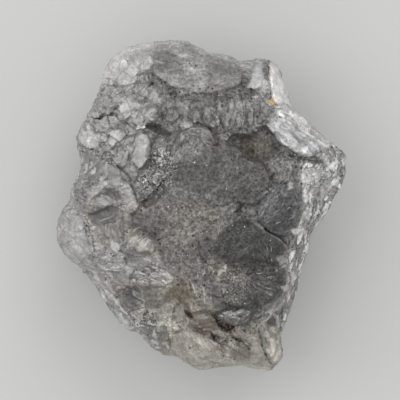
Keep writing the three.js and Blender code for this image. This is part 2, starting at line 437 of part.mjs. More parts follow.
// The girdle's points come first, in order, and then the rest, none closer than its own gap.
function planPoints(loops, fill, isLevel) {
  const points = girdle.map(({ x, y }) => ({ x, y }));
  const clear = (x, y, gap) => points.every((p) => Math.hypot(p.x - x, p.y - y) >= gap);
  const place = (x, y, gap) => {
    if (isInside(x, y, girdle) && clear(x, y, gap)) points.push({ x, y });
  };
  const [firstRing, ...innerRings] = GIRDLE_RINGS;
  girdle.forEach((p) => place(p.x - firstRing * p.nx, p.y - firstRing * p.ny, firstRing * 0.9));
  for (const loop of loops) {
    loop.forEach((p) => place(p.x - LIP * p.nx, p.y - LIP * p.ny, LEAST_GAP));
    loop.forEach((p) => place(p.x + FOOT * p.nx, p.y + FOOT * p.ny, LEAST_GAP));
  }
  for (const inset of innerRings) {
    girdle.forEach((p) => place(p.x - inset * p.nx, p.y - inset * p.ny, 0.6 * GIRDLE_STEP));
  }
  const reach = 3.4;
  const rowStep = fill * Math.sin(Math.PI / 3);
  for (let row = 0; row * rowStep < 2 * reach; row++) {
    for (let column = 0; column * fill < 2 * reach; column++) {
      const wobble = 0.12 * fill * Math.sin(12.9 * row + 7.3 * column);
      const x = (column + (row % 2) / 2) * fill - reach + wobble;
      const y = row * rowStep - reach - wobble;
      place(x, y, isLevel(x, y) ? 2 * fill : 0.62 * fill);
    }
  }
  return points;
}

// Delaunay triangles over the points, by inserting them one at a time from west to east.
function delaunay(points) {
  const far = 100;
  const corners = [{ x: -far, y: -far }, { x: far, y: -far }, { x: 0, y: far }];
  const all = [...points, ...corners];
  const triangle = (a, b, c) => {
    const [p, q, r] = [all[a], all[b], all[c]];
    const qx = q.x - p.x;
    const qy = q.y - p.y;
    const rx = r.x - p.x;
    const ry = r.y - p.y;
    const twice = 2 * (qx * ry - qy * rx);
    const cx = (ry * (qx * qx + qy * qy) - qy * (rx * rx + ry * ry)) / twice;
    const cy = (qx * (rx * rx + ry * ry) - rx * (qx * qx + qy * qy)) / twice;
    return { a, b, c, x: p.x + cx, y: p.y + cy, radius: Math.hypot(cx, cy) };
  };
  const order = points.map((_, i) => i).sort((i, j) => points[i].x - points[j].x);
  const done = [];
  let open = [triangle(points.length, points.length + 1, points.length + 2)];
  for (const i of order) {
    const { x, y } = points[i];
    const edges = new Map();
    const kept = [];
    for (const t of open) {
      if (Math.hypot(t.x - x, t.y - y) < t.radius) {
        for (const [from, to] of [[t.a, t.b], [t.b, t.c], [t.c, t.a]]) {
          if (!edges.delete(`${to},${from}`)) edges.set(`${from},${to}`, [from, to]);
        }
      } else if (t.x + t.radius < x) {
        done.push(t);
      } else {
        kept.push(t);
      }
    }
    for (const [from, to] of edges.values()) kept.push(triangle(from, to, i));
    open = kept;
  }
  return [...done, ...open].filter(({ a, b, c }) => Math.max(a, b, c) < points.length);
}

// One side of the stone: its points with heights, and its triangles within the girdle.
function makeSheet(ledgeLoops, fill, heightAt, isLevel) {
  const points = planPoints(ledgeLoops, fill, isLevel);
  const triangles = delaunay(points).filter(({ a, b, c }) => {
    const x = (points[a].x + points[b].x + points[c].x) / 3;
    const y = (points[a].y + points[b].y + points[c].y) / 3;
    return isInside(x, y, girdle);
  });
  points.forEach((p, i) => {
    p.z = i < girdle.length ? girdleHeight(p.x, p.y) : heightAt(p.x, p.y);
  });
  return { points, triangles };
}

// ---- The stone ----

function makeStone() {
  const crown = makeSheet(
    crownLedges.map(({ loop }) => loop), CROWN_FILL, crownHeight, () => false,
  );
  const pavilion = makeSheet(
    [cleavageFace, ...pavilionLedges.map(({ loop }) => loop)],
    PAVILION_FILL,
    pavilionHeight,
    (x, y) => isInside(x, y, cleavageFace),
  );
  const shared = girdle.length;
  const below = (i) => (i < shared ? i : i - shared + crown.points.length);
  const vertices = [...crown.points, ...pavilion.points.slice(shared)];
  const faces = [
    ...crown.triangles.map(({ a, b, c }) => [a, b, c]),
    ...pavilion.triangles.map(({ a, b, c }) => [below(a), below(c), below(b)]),
  ];
  const geometry = new THREE.BufferGeometry();
  const positions = vertices.flatMap(({ x, y, z }) => [x, y, z]);
  geometry.setAttribute("position", new THREE.Float32BufferAttribute(positions, 3));
  geometry.setIndex(faces.flat());
  geometry.computeVertexNormals();
  return geometry;
}

const diamond = new THREE.MeshStandardMaterial({
  name: "rough_diamond",
  color: "#8f908d",
  roughness: 0.32,
  metalness: 0,
});
const stone = new THREE.Mesh(makeStone(), diamond);
stone.name = "rough_diamond";

const part = new THREE.Group();
part.add(stone);
export default part;
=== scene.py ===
"""Rough diamond: the frosted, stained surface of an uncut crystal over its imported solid.

Lengths in the tables are in millimetres, in the crystal's own frame: X east, Y north and Z up.
"""

import functools
import itertools
import math

import bmesh
import bpy
import numpy as np
from bpy.props import FloatProperty, FloatVectorProperty, PointerProperty
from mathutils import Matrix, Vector, noise


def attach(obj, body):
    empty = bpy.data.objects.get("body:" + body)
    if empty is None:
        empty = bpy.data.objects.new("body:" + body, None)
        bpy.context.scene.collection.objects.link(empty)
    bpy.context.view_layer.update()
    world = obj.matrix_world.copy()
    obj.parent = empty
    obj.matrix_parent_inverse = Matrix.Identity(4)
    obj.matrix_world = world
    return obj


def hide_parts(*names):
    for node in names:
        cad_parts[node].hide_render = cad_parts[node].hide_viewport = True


bl_info = {
    "name": "Rough Diamond",
    "version": (1, 0, 0),
    "blender": (4, 5, 0),
    "location": "View3D > Sidebar > Rough Diamond",
    "description": "Builds the surface of a rough diamond and a small stage for it",
    "category": "Add Mesh",
}

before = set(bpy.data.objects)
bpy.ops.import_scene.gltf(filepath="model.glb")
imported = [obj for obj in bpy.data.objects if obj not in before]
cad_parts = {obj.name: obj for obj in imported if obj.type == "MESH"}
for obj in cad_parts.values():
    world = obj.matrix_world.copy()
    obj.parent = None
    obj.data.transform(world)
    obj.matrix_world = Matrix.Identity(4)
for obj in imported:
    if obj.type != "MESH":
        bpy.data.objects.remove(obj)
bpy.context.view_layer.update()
MM = 0.001
CROWN_FROM = 1.1  # the crown's fine surface begins this high
GIRDLE = 1.9  # the height that the camera's distance is measured from
CREASE_ANGLE, CREASE = 26, 0.55  # edges sharper than this many degrees are rounded less
SMOOTH_ANGLE = 42  # in degrees; edges sharper than this stay hard
GLOSS = 0.030  # the light that the gloss adds, taken off the colour below
THIN_TONE, THIN_CLEAR = 172, 0.65  # the least tone and clearness of the thin low margins
PERIOD = 32  # random tables repeat after this many cells
FALLOFF = 0.6  # each finer octave of noise is this much weaker
FAR = 9.0  # farther than anything on the crystal
MIDDLE = Vector((0, 0, 2 * MM))  # of the crystal

# ---- Where the surface looks different ----

# How strongly each finish shows etch grain, blocks, chips, shards, dark specks and white flecks.
FINISHES = {
    "matt": (1.05, 0.00, 0.35, 0.00, 0.45, 0.30),
    "combed": (0.60, 0.00, 0.30, 0.10, 0.20, 0.05),
    "peppered": (1.05, 0.05, 0.50, 0.05, 1.00, 0.50),
    "sooty": (1.00, 0.05, 0.60, 0.05, 1.35, 0.55),
    "barky": (0.80, 0.10, 0.60, 0.35, 0.60, 0.35),
    "speckled": (1.25, 0.05, 0.60, 0.10, 0.85, 0.50),
    "crumbled": (0.90, 0.05, 1.00, 0.15, 0.80, 0.80),
    "ribbed": (0.25, 0.15, 0.20, 0.30, 0.05, 0.20),
    "rubble": (0.90, 0.20, 1.30, 0.40, 1.20, 1.30),
    "blocky": (0.45, 0.80, 0.50, 0.10, 0.30, 0.30),
    "crazed": (0.25, 0.60, 0.25, 0.15, 0.05, 0.25),
    "flaked": (0.30, 0.20, 0.35, 0.70, 0.10, 0.30),
    "splintered": (0.65, 0.30, 1.15, 1.10, 0.80, 1.10),
    "glassy": (0.45, 0.25, 0.42, 0.85, 0.25, 0.55),
    "smooth": (0.25, 0.05, 0.12, 0.10, 0.04, 0.05),
    "worn": (0.65, 0.60, 0.60, 0.50, 0.30, 0.60),
}

# Frosted, clear and broken fields of the crown: grey tone (0-255), clearness, the width of the soft
# edge, finish and outline. A later field covers an earlier one.
FIELDS = (
    # The frosted heart of the crown.
    (116, 0.10, 0.30, "peppered", (  # heart
        (-1.25, 0.1), (-1.35, 0.7), (-1.2, 1.5), (-1.1, 2.3), (-0.95, 2.6), (-0.9, 3.1), (-0.3, 3.1),
        (0.6, 2.85), (0.95, 2.6), (1.2, 2.1), (1.4, 1.6), (2.0, 0.9), (1.9, 0.0), (1.75, -0.8),
        (1.6, -1.6), (1.3, -2.2), (0.9, -2.6), (0.2, -2.3), (-0.4, -1.7), (-0.9, -1.3), (-1.1, -0.7))),
    (104, 0.04, 0.12, "sooty", (  # dusty band
        (-1.1, 2.3), (-0.9, 2.6), (-0.4, 2.34), (0.3, 2.36), (0.9, 2.5), (1.1, 2.2), (0.9, 2.0),
        (0.2, 1.98), (-0.5, 1.9), (-0.9, 2.0))),
    (132, 0.06, 0.15, "barky", (  # bark
        (-0.9, 2.0), (-0.4, 2.0), (0.2, 2.06), (0.9, 2.1), (1.3, 1.9), (1.25, 1.5), (0.9, 1.44),
        (0.3, 1.44), (-0.2, 1.64), (-0.7, 1.62))),
    (110, 0.06, 0.35, "peppered", (  # speckled plateau
        (-1.1, -0.2), (-0.6, 0.3), (0.0, 0.1), (0.1, -0.5), (0.0, -1.1), (-0.3, -1.4), (-0.6, -1.3),
        (-0.9, -0.9))),
    # North-west.
    (188, 0.55, 0.08, "crazed", (  # clear north-west lobe
        (-2.6, 2.44), (-2.0, 2.43), (-1.65, 2.36), (-1.36, 2.36), (-1.24, 2.45), (-1.21, 2.63),
        (-0.96, 2.68), (-0.92, 3.5), (-2.6, 3.5))),
    (244, 0.55, 0.20, "smooth", (  # pale rim of the north-western lobe
        (-2.3, 2.4), (-1.94, 2.44), (-1.76, 2.58), (-1.6, 2.84), (-1.36, 3.04), (-1.0, 3.18), (-0.94, 3.5),
        (-2.6, 3.5))),
    (154, 0.08, 0.08, "combed", (  # northern lobe
        (-0.92, 2.62), (-0.91, 3.12), (-0.5, 3.14), (-0.1, 3.04), (0.15, 2.9), (0.5, 2.88), (0.68, 2.76),
        (0.76, 2.42), (0.4, 2.24), (-0.4, 2.2))),
    (126, 0.08, 0.20, "combed", (  # shaded right of the northern lobe
        (0.1, 2.3), (0.1, 2.84), (0.5, 2.84), (0.68, 2.74), (0.76, 2.42), (0.4, 2.24))),
    (166, 0.35, 0.12, "blocky", (  # broken blocks
        (-2.4, 1.5), (-2.05, 2.4), (-1.65, 2.34), (-1.34, 2.36), (-1.2, 2.5), (-0.9, 2.3), (-0.75, 1.9),
        (-0.95, 1.62), (-1.3, 1.4), (-1.4, 0.8), (-1.75, 0.9), (-2.1, 1.1), (-2.42, 1.2))),
    (150, 0.15, 0.08, "blocky", (  # shaded blocks
        (-1.9, 1.5), (-1.62, 1.66), (-1.3, 1.66), (-1.3, 1.44), (-1.5, 1.5), (-1.75, 1.42))),
    (186, 0.35, 0.05, "blocky", (  # light block
        (-2.14, 1.52), (-2.1, 1.7), (-1.9, 1.74), (-1.84, 1.56), (-1.96, 1.46))),
    (202, 0.50, 0.05, "smooth", (  # smooth west facet
        (-2.42, 1.36), (-2.32, 1.5), (-2.22, 1.62), (-2.1, 1.48), (-2.0, 1.38), (-2.02, 1.2), (-2.2, 1.14),
        (-2.38, 1.22))),
    (176, 0.40, 0.04, "smooth", (  # pale cell
        (-1.62, 1.8), (-1.5, 1.94), (-1.36, 1.94), (-1.36, 1.78), (-1.42, 1.71), (-1.58, 1.71))),
    (172, 0.40, 0.04, "smooth", (  # pale cell
        (-1.2, 1.74), (-1.14, 1.9), (-0.98, 2.0), (-0.9, 1.86), (-1.0, 1.72))),
    (205, 0.40, 0.04, "smooth", (  # long cell
        (-1.8, 1.24), (-1.74, 1.42), (-1.62, 1.5), (-1.62, 1.34), (-1.72, 1.12))),
    (174, 0.35, 0.04, "smooth", (  # leaf-shaped cell
        (-1.3, 1.32), (-1.2, 1.41), (-1.06, 1.4), (-1.0, 1.2), (-1.0, 1.02), (-1.08, 0.84), (-1.23, 0.71),
        (-1.37, 0.95), (-1.32, 1.14))),
    (254, 0.15, 0.04, "smooth", (  # white cap
        (-1.3, 1.48), (-1.25, 1.59), (-1.07, 1.6), (-1.08, 1.54), (-1.2, 1.52))),
    (152, 0.15, 0.05, "matt", (  # light column
        (-0.76, 1.62), (-0.74, 1.82), (-0.62, 1.86), (-0.53, 1.74), (-0.54, 1.6), (-0.66, 1.58))),
    (160, 0.15, 0.04, "matt", (  # three-cornered facet by the tongue
        (-0.44, 1.56), (-0.36, 1.68), (-0.26, 1.72), (-0.16, 1.62), (-0.2, 1.55), (-0.38, 1.48))),
    (188, 0.30, 0.04, "smooth", (  # pale facet
        (-1.66, 1.98), (-1.52, 2.2), (-1.36, 2.04), (-1.2, 2.02), (-1.34, 1.84), (-1.5, 1.7),
        (-1.62, 1.82))),
    (104, 0.05, 0.10, "crumbled", (  # dusty hollow
        (-1.02, 1.6), (-0.6, 1.66), (-0.42, 1.6), (-0.48, 1.36), (-0.7, 1.36), (-0.95, 1.46))),
    (30, 0.00, 0.05, "sooty", (  # black cleft
        (-1.06, 1.58), (-0.9, 1.62), (-0.74, 1.54), (-0.6, 1.46), (-0.6, 1.36), (-0.76, 1.38),
        (-0.9, 1.46), (-1.04, 1.52))),
    (114, 0.10, 0.14, "matt", (  # groove by the tongue
        (-0.62, 0.58), (-0.68, 0.36), (-0.84, 0.1), (-1.05, -0.04), (-1.22, 0.02), (-1.0, 0.16),
        (-0.84, 0.34), (-0.74, 0.54))),
    # The terraces.
    (116, 0.06, 0.20, "barky", (  # shaded left of the bark
        (-0.9, 1.66), (-0.9, 2.0), (-0.3, 2.1), (0.1, 2.0), (0.14, 1.66), (-0.2, 1.66))),
    (93, 0.04, 0.06, "matt", (  # east side of the hollow
        (1.04, 1.36), (1.24, 1.56), (1.4, 1.42), (1.52, 1.22), (1.44, 1.08), (1.2, 1.02))),
    (124, 0.06, 0.20, "peppered", (  # north of the plateau
        (-0.6, 0.26), (0.1, 0.16), (0.1, -0.3), (-0.3, -0.4), (-0.6, -0.2))),
    (97, 0.06, 0.06, "matt", (  # tongue
        (-0.56, 0.4), (-0.55, 0.95), (-0.49, 1.28), (-0.39, 1.43), (-0.2, 1.53), (0.02, 1.55),
        (0.17, 1.45), (0.3, 1.28), (0.55, 1.15), (0.73, 1.1), (0.86, 0.92), (1.02, 0.86), (1.2, 0.83),
        (1.28, 0.7), (1.39, 0.52), (1.36, 0.34), (1.14, 0.1), (0.7, 0.1), (0.2, 0.2), (-0.3, 0.3))),
    (124, 0.08, 0.15, "matt", (  # tongue's head
        (-0.56, 0.9), (-0.5, 1.26), (-0.4, 1.42), (-0.2, 1.52), (0.02, 1.54), (0.16, 1.44), (0.2, 1.2),
        (0.0, 1.0), (-0.3, 0.9))),
    (92, 0.04, 0.20, "speckled", (  # dark east of the tongue
        (0.65, 0.9), (1.15, 0.8), (1.35, 0.5), (1.1, 0.15), (0.75, 0.2), (0.7, 0.5))),
    (120, 0.10, 0.06, "matt", (  # finger plate
        (0.42, 0.17), (0.58, 0.12), (0.7, 0.0), (0.67, -0.12), (0.56, -0.2), (0.38, -0.27), (0.05, -0.22),
        (-0.1, 0.0), (0.1, 0.12))),
    (84, 0.04, 0.05, "matt", (  # gap by the finger
        (0.72, 0.1), (0.86, 0.06), (0.8, -0.1), (0.84, -0.22), (0.7, -0.24), (0.66, -0.14),
        (0.72, -0.02))),
    (104, 0.06, 0.04, "matt", (  # small plate
        (0.82, -0.06), (0.96, -0.01), (1.1, 0.06), (1.12, -0.14), (1.05, -0.28), (0.86, -0.2))),
    (118, 0.04, 0.06, "matt", (  # hollow
        (0.46, 1.22), (0.56, 1.4), (0.84, 1.39), (1.0, 1.38), (1.1, 1.46), (1.24, 1.58), (1.4, 1.42),
        (1.54, 1.22), (1.46, 1.08), (1.34, 1.0), (1.27, 0.9), (1.04, 0.9), (0.92, 0.95), (0.86, 1.06),
        (0.76, 1.14), (0.58, 1.18))),
    # Painted shade in the deep middle of the hollow.
    (98, 0.02, 0.06, "matt", (  # deep middle of the hollow
        (0.74, 1.14), (0.78, 1.3), (0.92, 1.36), (1.0, 1.28), (1.02, 1.12), (1.2, 0.96), (1.12, 0.88),
        (0.96, 0.92), (0.86, 1.04))),
    (128, 0.06, 0.06, "matt", (  # light west end of the hollow
        (0.5, 1.22), (0.58, 1.38), (0.78, 1.38), (0.76, 1.2), (0.6, 1.18))),
    (124, 0.06, 0.15, "combed", (  # combed corner of the northern lobe
        (-0.92, 2.6), (-0.91, 3.08), (-0.6, 3.06), (-0.4, 2.9), (-0.3, 2.6))),
    (126, 0.12, 0.05, "matt", (  # upper east terrace
        (1.3, 0.88), (1.38, 0.97), (1.52, 1.0), (1.7, 0.96), (1.78, 0.7), (1.74, 0.46), (1.6, 0.41),
        (1.46, 0.46), (1.42, 0.6), (1.34, 0.76))),
    (84, 0.05, 0.10, "matt", (  # east terrace
        (1.15, 0.1), (1.22, 0.22), (1.36, 0.32), (1.44, 0.42), (1.6, 0.4), (1.78, 0.32), (1.93, 0.1),
        (1.95, -0.14), (1.84, -0.4), (1.68, -0.58), (1.46, -0.55), (1.28, -0.46), (1.14, -0.34),
        (1.13, -0.12))),
    (108, 0.06, 0.14, "matt", (  # light west side of the terrace
        (1.15, 0.1), (1.22, 0.22), (1.36, 0.32), (1.5, 0.36), (1.5, 0.1), (1.4, -0.2), (1.3, -0.42),
        (1.14, -0.34), (1.13, -0.12))),
    (106, 0.06, 0.10, "peppered", (  # speckled rim of the terrace
        (1.74, 0.44), (1.9, 0.48), (2.04, 0.3), (2.06, -0.05), (1.98, -0.3), (1.84, -0.45), (1.78, -0.2),
        (1.82, 0.1))),
    (112, 0.06, 0.10, "matt", (  # top of the terrace
        (1.36, 0.28), (1.42, 0.44), (1.6, 0.42), (1.72, 0.4), (1.7, 0.2), (1.5, 0.2))),
    (190, 0.20, 0.03, "smooth", (  # white chip
        (1.72, 0.3), (1.7, 0.42), (1.76, 0.48), (1.84, 0.44), (1.8, 0.34))),
    (86, 0.05, 0.08, "speckled", (  # between the domes
        (0.5, -1.06), (1.6, -1.12), (1.66, -1.36), (1.3, -1.3), (0.9, -1.28), (0.5, -1.26))),
    (92, 0.04, 0.20, "sooty", (  # dark hollow of the plateau
        (-0.08, -0.7), (0.1, -0.6), (0.26, -0.72), (0.24, -1.0), (0.06, -1.08), (-0.1, -0.94))),
    (126, 0.06, 0.20, "peppered", (  # light rise of the plateau
        (-0.5, -0.36), (-0.24, -0.3), (-0.16, -0.6), (-0.3, -0.84), (-0.52, -0.7))),
    (64, 0.05, 0.16, "speckled", (  # south-east dome
        (0.3, -0.6), (0.44, -0.4), (0.66, -0.3), (0.94, -0.29), (1.1, -0.36), (1.22, -0.48), (1.4, -0.6),
        (1.56, -0.7), (1.68, -0.82), (1.6, -0.98), (1.5, -1.16), (1.05, -1.1), (0.62, -1.06),
        (0.36, -1.02), (0.24, -0.86))),
    (46, 0.04, 0.20, "speckled", (  # dark side of the dome
        (1.0, -0.7), (1.2, -0.72), (1.4, -0.86), (1.38, -1.1), (1.1, -1.12), (0.95, -0.9))),
    (75, 0.06, 0.14, "speckled", (  # lower dome
        (0.2, -1.58), (0.28, -1.4), (0.38, -1.22), (0.5, -1.17), (0.8, -1.21), (1.05, -1.18),
        (1.35, -1.25), (1.6, -1.34), (1.68, -1.56), (1.62, -1.78), (1.4, -1.92), (1.17, -2.06),
        (1.0, -2.26), (0.78, -2.36), (0.52, -2.32), (0.3, -2.16), (0.38, -1.96), (0.24, -1.78))),
    (96, 0.06, 0.14, "crumbled", (  # crumbled left half of the lower dome
        (0.3, -1.6), (0.46, -1.24), (0.8, -1.26), (0.98, -1.4), (0.9, -1.8), (0.6, -1.96), (0.36, -1.84))),
    # Painted highlight along the lit west rim of the lower dome.
    (142, 0.15, 0.06, "crumbled", (  # pale west rim of the lower dome
        (0.2, -1.58), (0.28, -1.4), (0.38, -1.22), (0.5, -1.17), (0.56, -1.26), (0.42, -1.38),
        (0.34, -1.56))),
    (102, 0.15, 0.06, "glassy", (  # south lip
        (0.44, -2.06), (0.7, -2.08), (1.0, -2.06), (0.95, -2.26), (0.76, -2.35), (0.54, -2.3),
        (0.36, -2.18))),
    # North-east.
    # Painted reflection: this facet is pale with the light it sends back.
    (182, 0.20, 0.05, "flaked", (  # north-east facet
        (1.27, 1.6), (1.42, 1.43), (1.52, 1.28), (1.64, 1.18), (1.84, 1.07), (2.02, 0.99), (2.2, 1.0),
        (2.34, 1.16), (2.2, 1.34), (1.95, 1.5), (1.7, 1.66), (1.42, 1.7))),
    (200, 0.50, 0.08, "glassy", (  # north-east margin
        (1.5, 1.98), (1.46, 1.72), (1.7, 1.68), (1.96, 1.52), (2.2, 1.36), (2.4, 1.16), (2.7, 1.0),
        (2.9, 1.2), (2.4, 1.8), (1.9, 2.1))),
    # Painted reflection: this facet is near white with the light it sends back.
    (244, 0.25, 0.05, "smooth", (  # white north-east facet
        (1.36, 2.84), (1.36, 2.55), (1.4, 2.3), (1.43, 2.12), (1.52, 1.98), (1.64, 2.02), (1.9, 2.0),
        (1.8, 2.4), (1.64, 2.78), (1.5, 2.95))),
    (222, 0.35, 0.08, "flaked", (  # pale saddle below the white facet
        (1.46, 1.98), (1.62, 2.02), (1.8, 1.92), (1.98, 1.68), (1.84, 1.6), (1.62, 1.68), (1.5, 1.82))),
    (184, 0.15, 0.04, "smooth", (  # white flake
        (0.93, 2.34), (0.98, 2.46), (1.04, 2.62), (1.08, 2.76), (1.17, 2.87), (1.2, 2.7), (1.2, 2.5),
        (1.17, 2.32), (1.04, 2.28))),
    (120, 0.10, 0.04, "matt", (  # gap by the flake
        (1.21, 2.9), (1.34, 2.88), (1.35, 2.6), (1.3, 2.46), (1.22, 2.5), (1.22, 2.7))),
    (78, 0.08, 0.06, "crumbled", (  # dark band under the facet
        (1.56, 1.2), (1.76, 1.09), (2.0, 0.97), (2.24, 0.97), (2.42, 0.9), (2.46, 0.78), (2.2, 0.8),
        (1.95, 0.84), (1.76, 0.94), (1.56, 1.04))),
    # East.
    (170, 0.55, 0.12, "splintered", (  # east corner
        (2.4, 1.14), (2.62, 1.06), (3.1, 1.2), (3.1, 0.4), (2.7, -0.2), (2.3, -0.5), (1.98, -0.3),
        (2.0, 0.3), (2.04, 0.86), (2.44, 0.8))),
    (145, 0.55, 0.10, "splintered", (  # east margin
        (1.96, -0.3), (2.4, -0.4), (2.2, -1.0), (2.05, -1.7), (1.8, -2.3), (1.58, -2.2), (1.7, -1.7),
        (1.72, -1.2), (1.7, -0.8))),
    (119, 0.50, 0.12, "splintered", (  # lower east margin
        (1.7, -0.7), (2.1, -0.5), (2.6, -0.8), (2.2, -2.0), (1.8, -2.5), (1.56, -2.2), (1.7, -1.7),
        (1.72, -1.2))),
    (205, 0.30, 0.03, "smooth", (  # white chip
        (2.02, 0.34), (2.12, 0.28), (2.14, 0.1), (2.05, 0.08), (2.0, 0.2))),
    (205, 0.30, 0.03, "smooth", (  # white chip
        (1.95, 0.62), (2.04, 0.68), (2.08, 0.54), (1.98, 0.48))),
    (195, 0.30, 0.03, "smooth", (  # white chip
        (2.0, -0.1), (2.12, -0.12), (2.12, -0.28), (2.0, -0.26))),
    (205, 0.30, 0.03, "smooth", (  # white chip
        (1.76, -0.48), (1.9, -0.44), (1.98, -0.52), (1.86, -0.62))),
    (150, 0.30, 0.04, "smooth", (  # pinkish chip
        (1.5, -1.02), (1.6, -0.98), (1.68, -1.1), (1.56, -1.18))),
    (195, 0.30, 0.03, "smooth", (  # white chip
        (1.74, -1.3), (1.84, -1.26), (1.9, -1.46), (1.78, -1.54))),
    (185, 0.30, 0.03, "smooth", (  # white chip
        (1.58, -1.6), (1.68, -1.52), (1.74, -1.62), (1.64, -1.7))),
    (205, 0.30, 0.03, "smooth", (  # white chip
        (2.36, 0.3), (2.46, 0.36), (2.5, 0.2), (2.4, 0.16))),
    (205, 0.30, 0.03, "smooth", (  # white chip
        (2.24, 0.62), (2.36, 0.68), (2.38, 0.54), (2.28, 0.5))),
    # West and south-west.
    (154, 0.65, 0.14, "glassy", (  # west lobe
        (-2.6, 1.16), (-2.25, 1.11), (-1.98, 1.0), (-1.76, 0.9), (-1.62, 0.74), (-1.42, 0.54),
        (-1.32, 0.28), (-1.22, 0.0), (-1.0, -0.2), (-0.95, -0.6), (-0.8, -1.2), (-0.5, -1.45),
        (-0.8, -2.0), (-0.9, -2.9), (-2.0, -2.9), (-3.2, -1.5), (-3.2, 0.2))),
    (141, 0.50, 0.25, "glassy", (  # upper west lobe
        (-2.6, 1.16), (-2.25, 1.11), (-1.98, 1.0), (-1.76, 0.9), (-1.62, 0.74), (-1.42, 0.54),
        (-1.32, 0.28), (-1.5, 0.14), (-2.1, 0.0), (-2.7, -0.04), (-2.6, 0.5))),
    (178, 0.60, 0.25, "ribbed", (  # western rim
        (-3.2, 0.0), (-2.6, -0.06), (-2.34, -0.3), (-2.24, -0.7), (-2.1, -1.2), (-2.6, -1.6),
        (-3.2, -1.0))),
    (100, 0.20, 0.06, "matt", (  # brown wedge
        (-0.40, -1.38), (-0.5, -1.52), (-0.7, -1.72), (-0.76, -1.92), (-0.62, -1.92), (-0.46, -1.84),
        (-0.36, -1.94), (-0.28, -2.16), (-0.2, -2.12), (-0.24, -1.8), (-0.32, -1.52))),
    (112, 0.45, 0.15, "glassy", (  # south-west foot
        (-1.3, -2.5), (-0.7, -2.44), (-0.62, -2.8), (-0.7, -3.3), (-1.6, -3.0))),
    (138, 0.40, 0.10, "smooth", (  # olive veil
        (-2.1, 0.6), (-2.0, 0.78), (-1.8, 0.8), (-1.6, 0.7), (-1.5, 0.56), (-1.62, 0.56), (-1.8, 0.62),
        (-1.96, 0.56))),
    (164, 0.45, 0.04, "smooth", (  # bluish-white band
        (-2.29, 0.08), (-2.15, 0.34), (-1.95, 0.43), (-1.75, 0.56), (-1.55, 0.48), (-1.69, 0.41),
        (-1.95, 0.31), (-2.09, 0.18), (-2.27, -0.01))),
    (108, 0.35, 0.06, "smooth", (  # dark feathers
        (-2.0, 0.27), (-1.88, 0.36), (-1.7, 0.36), (-1.56, 0.2), (-1.6, 0.1), (-1.74, 0.2),
        (-1.92, 0.24))),
    (150, 0.45, 0.04, "smooth", (  # pink-white wedge
        (-2.22, -0.06), (-2.08, 0.1), (-1.95, 0.23), (-1.78, 0.16), (-1.62, 0.05), (-1.78, -0.01))),
    (150, 0.40, 0.08, "smooth", (  # grey flank
        (-1.54, 0.3), (-1.4, 0.42), (-1.3, 0.28), (-1.26, 0.1), (-1.4, -0.04), (-1.54, 0.04))),
    (90, 0.35, 0.08, "smooth", (  # smooth grey facet
        (-2.26, -0.16), (-2.04, -0.06), (-1.8, -0.02), (-1.66, -0.1), (-1.68, -0.28), (-1.84, -0.36),
        (-2.0, -0.42), (-2.16, -0.36))),
    (124, 0.35, 0.14, "ribbed", (  # streaky corner below the facet
        (-2.0, -0.4), (-1.84, -0.36), (-1.68, -0.3), (-1.52, -0.2), (-1.5, -0.5), (-1.62, -0.7),
        (-1.8, -0.8), (-1.94, -0.72))),
    (86, 0.20, 0.20, "speckled", (  # olive slope
        (-1.4, -0.1), (-1.0, -0.1), (-0.8, -0.4), (-0.9, -0.7), (-1.3, -0.55), (-1.5, -0.35))),
    (200, 0.30, 0.03, "smooth", (  # white triangle
        (-1.8, -0.7), (-1.64, -0.74), (-1.58, -0.84), (-1.68, -0.94), (-1.78, -0.88))),
    (118, 0.10, 0.12, "flaked", (  # white patch
        (-1.5, -0.86), (-1.3, -0.78), (-1.0, -0.84), (-1.0, -0.96), (-1.3, -0.98), (-1.46, -0.98))),
    (130, 0.30, 0.10, "smooth", (  # shaded chip
        (-1.26, -1.1), (-1.08, -1.08), (-0.98, -1.26), (-1.08, -1.4), (-1.24, -1.32))),
    (72, 0.35, 0.20, "smooth", (  # dark chip
        (-1.6, -1.78), (-1.44, -1.58), (-1.2, -1.6), (-1.16, -1.88), (-1.26, -2.04), (-1.5, -2.0))),
    (110, 0.30, 0.25, "matt", (  # grey slope
        (-1.1, -1.6), (-0.8, -1.6), (-0.72, -1.9), (-0.8, -2.1), (-1.05, -2.05), (-1.14, -1.8))),
    (110, 0.12, 0.12, "rubble", (  # crumbled patch
        (-1.36, -2.2), (-1.1, -2.04), (-0.9, -2.1), (-0.86, -2.34), (-1.04, -2.44), (-1.3, -2.4))),
    # South.
    (174, 0.60, 0.10, "ribbed", (  # clear southern lobe
        (-0.66, -3.4), (-0.62, -2.76), (-0.55, -2.6), (-0.42, -2.5), (-0.28, -2.43), (0.0, -2.54),
        (0.2, -2.64), (0.36, -2.74), (0.6, -2.9), (1.0, -2.95), (1.2, -2.7), (1.3, -3.0), (1.4, -3.5),
        (0.0, -3.5))),
    (150, 0.50, 0.15, "ribbed", (  # shaded right of the southern lobe
        (0.6, -2.7), (0.9, -2.76), (1.14, -2.6), (1.24, -2.9), (1.3, -3.2), (1.0, -3.24), (0.7, -3.1))),
    (150, 0.50, 0.08, "glassy", (  # south-east foot
        (1.12, -2.4), (1.26, -2.2), (1.5, -2.14), (1.62, -2.4), (1.8, -2.9), (1.6, -3.5), (1.42, -3.3),
        (1.28, -2.98), (1.2, -2.74))),
    (205, 0.40, 0.05, "smooth", (  # foot's pale edge
        (1.42, -2.98), (1.52, -2.84), (1.62, -2.68), (1.66, -2.8), (1.52, -3.08), (1.44, -3.12))),
    (84, 0.20, 0.05, "smooth", (  # dark foot facet
        (1.3, -2.24), (1.42, -2.14), (1.5, -2.22), (1.5, -2.38), (1.38, -2.4), (1.3, -2.34))),
    (146, 0.60, 0.05, "smooth", (  # window
        (-0.54, -2.02), (-0.4, -1.88), (-0.32, -2.02), (-0.31, -2.36), (-0.42, -2.4), (-0.56, -2.26))),
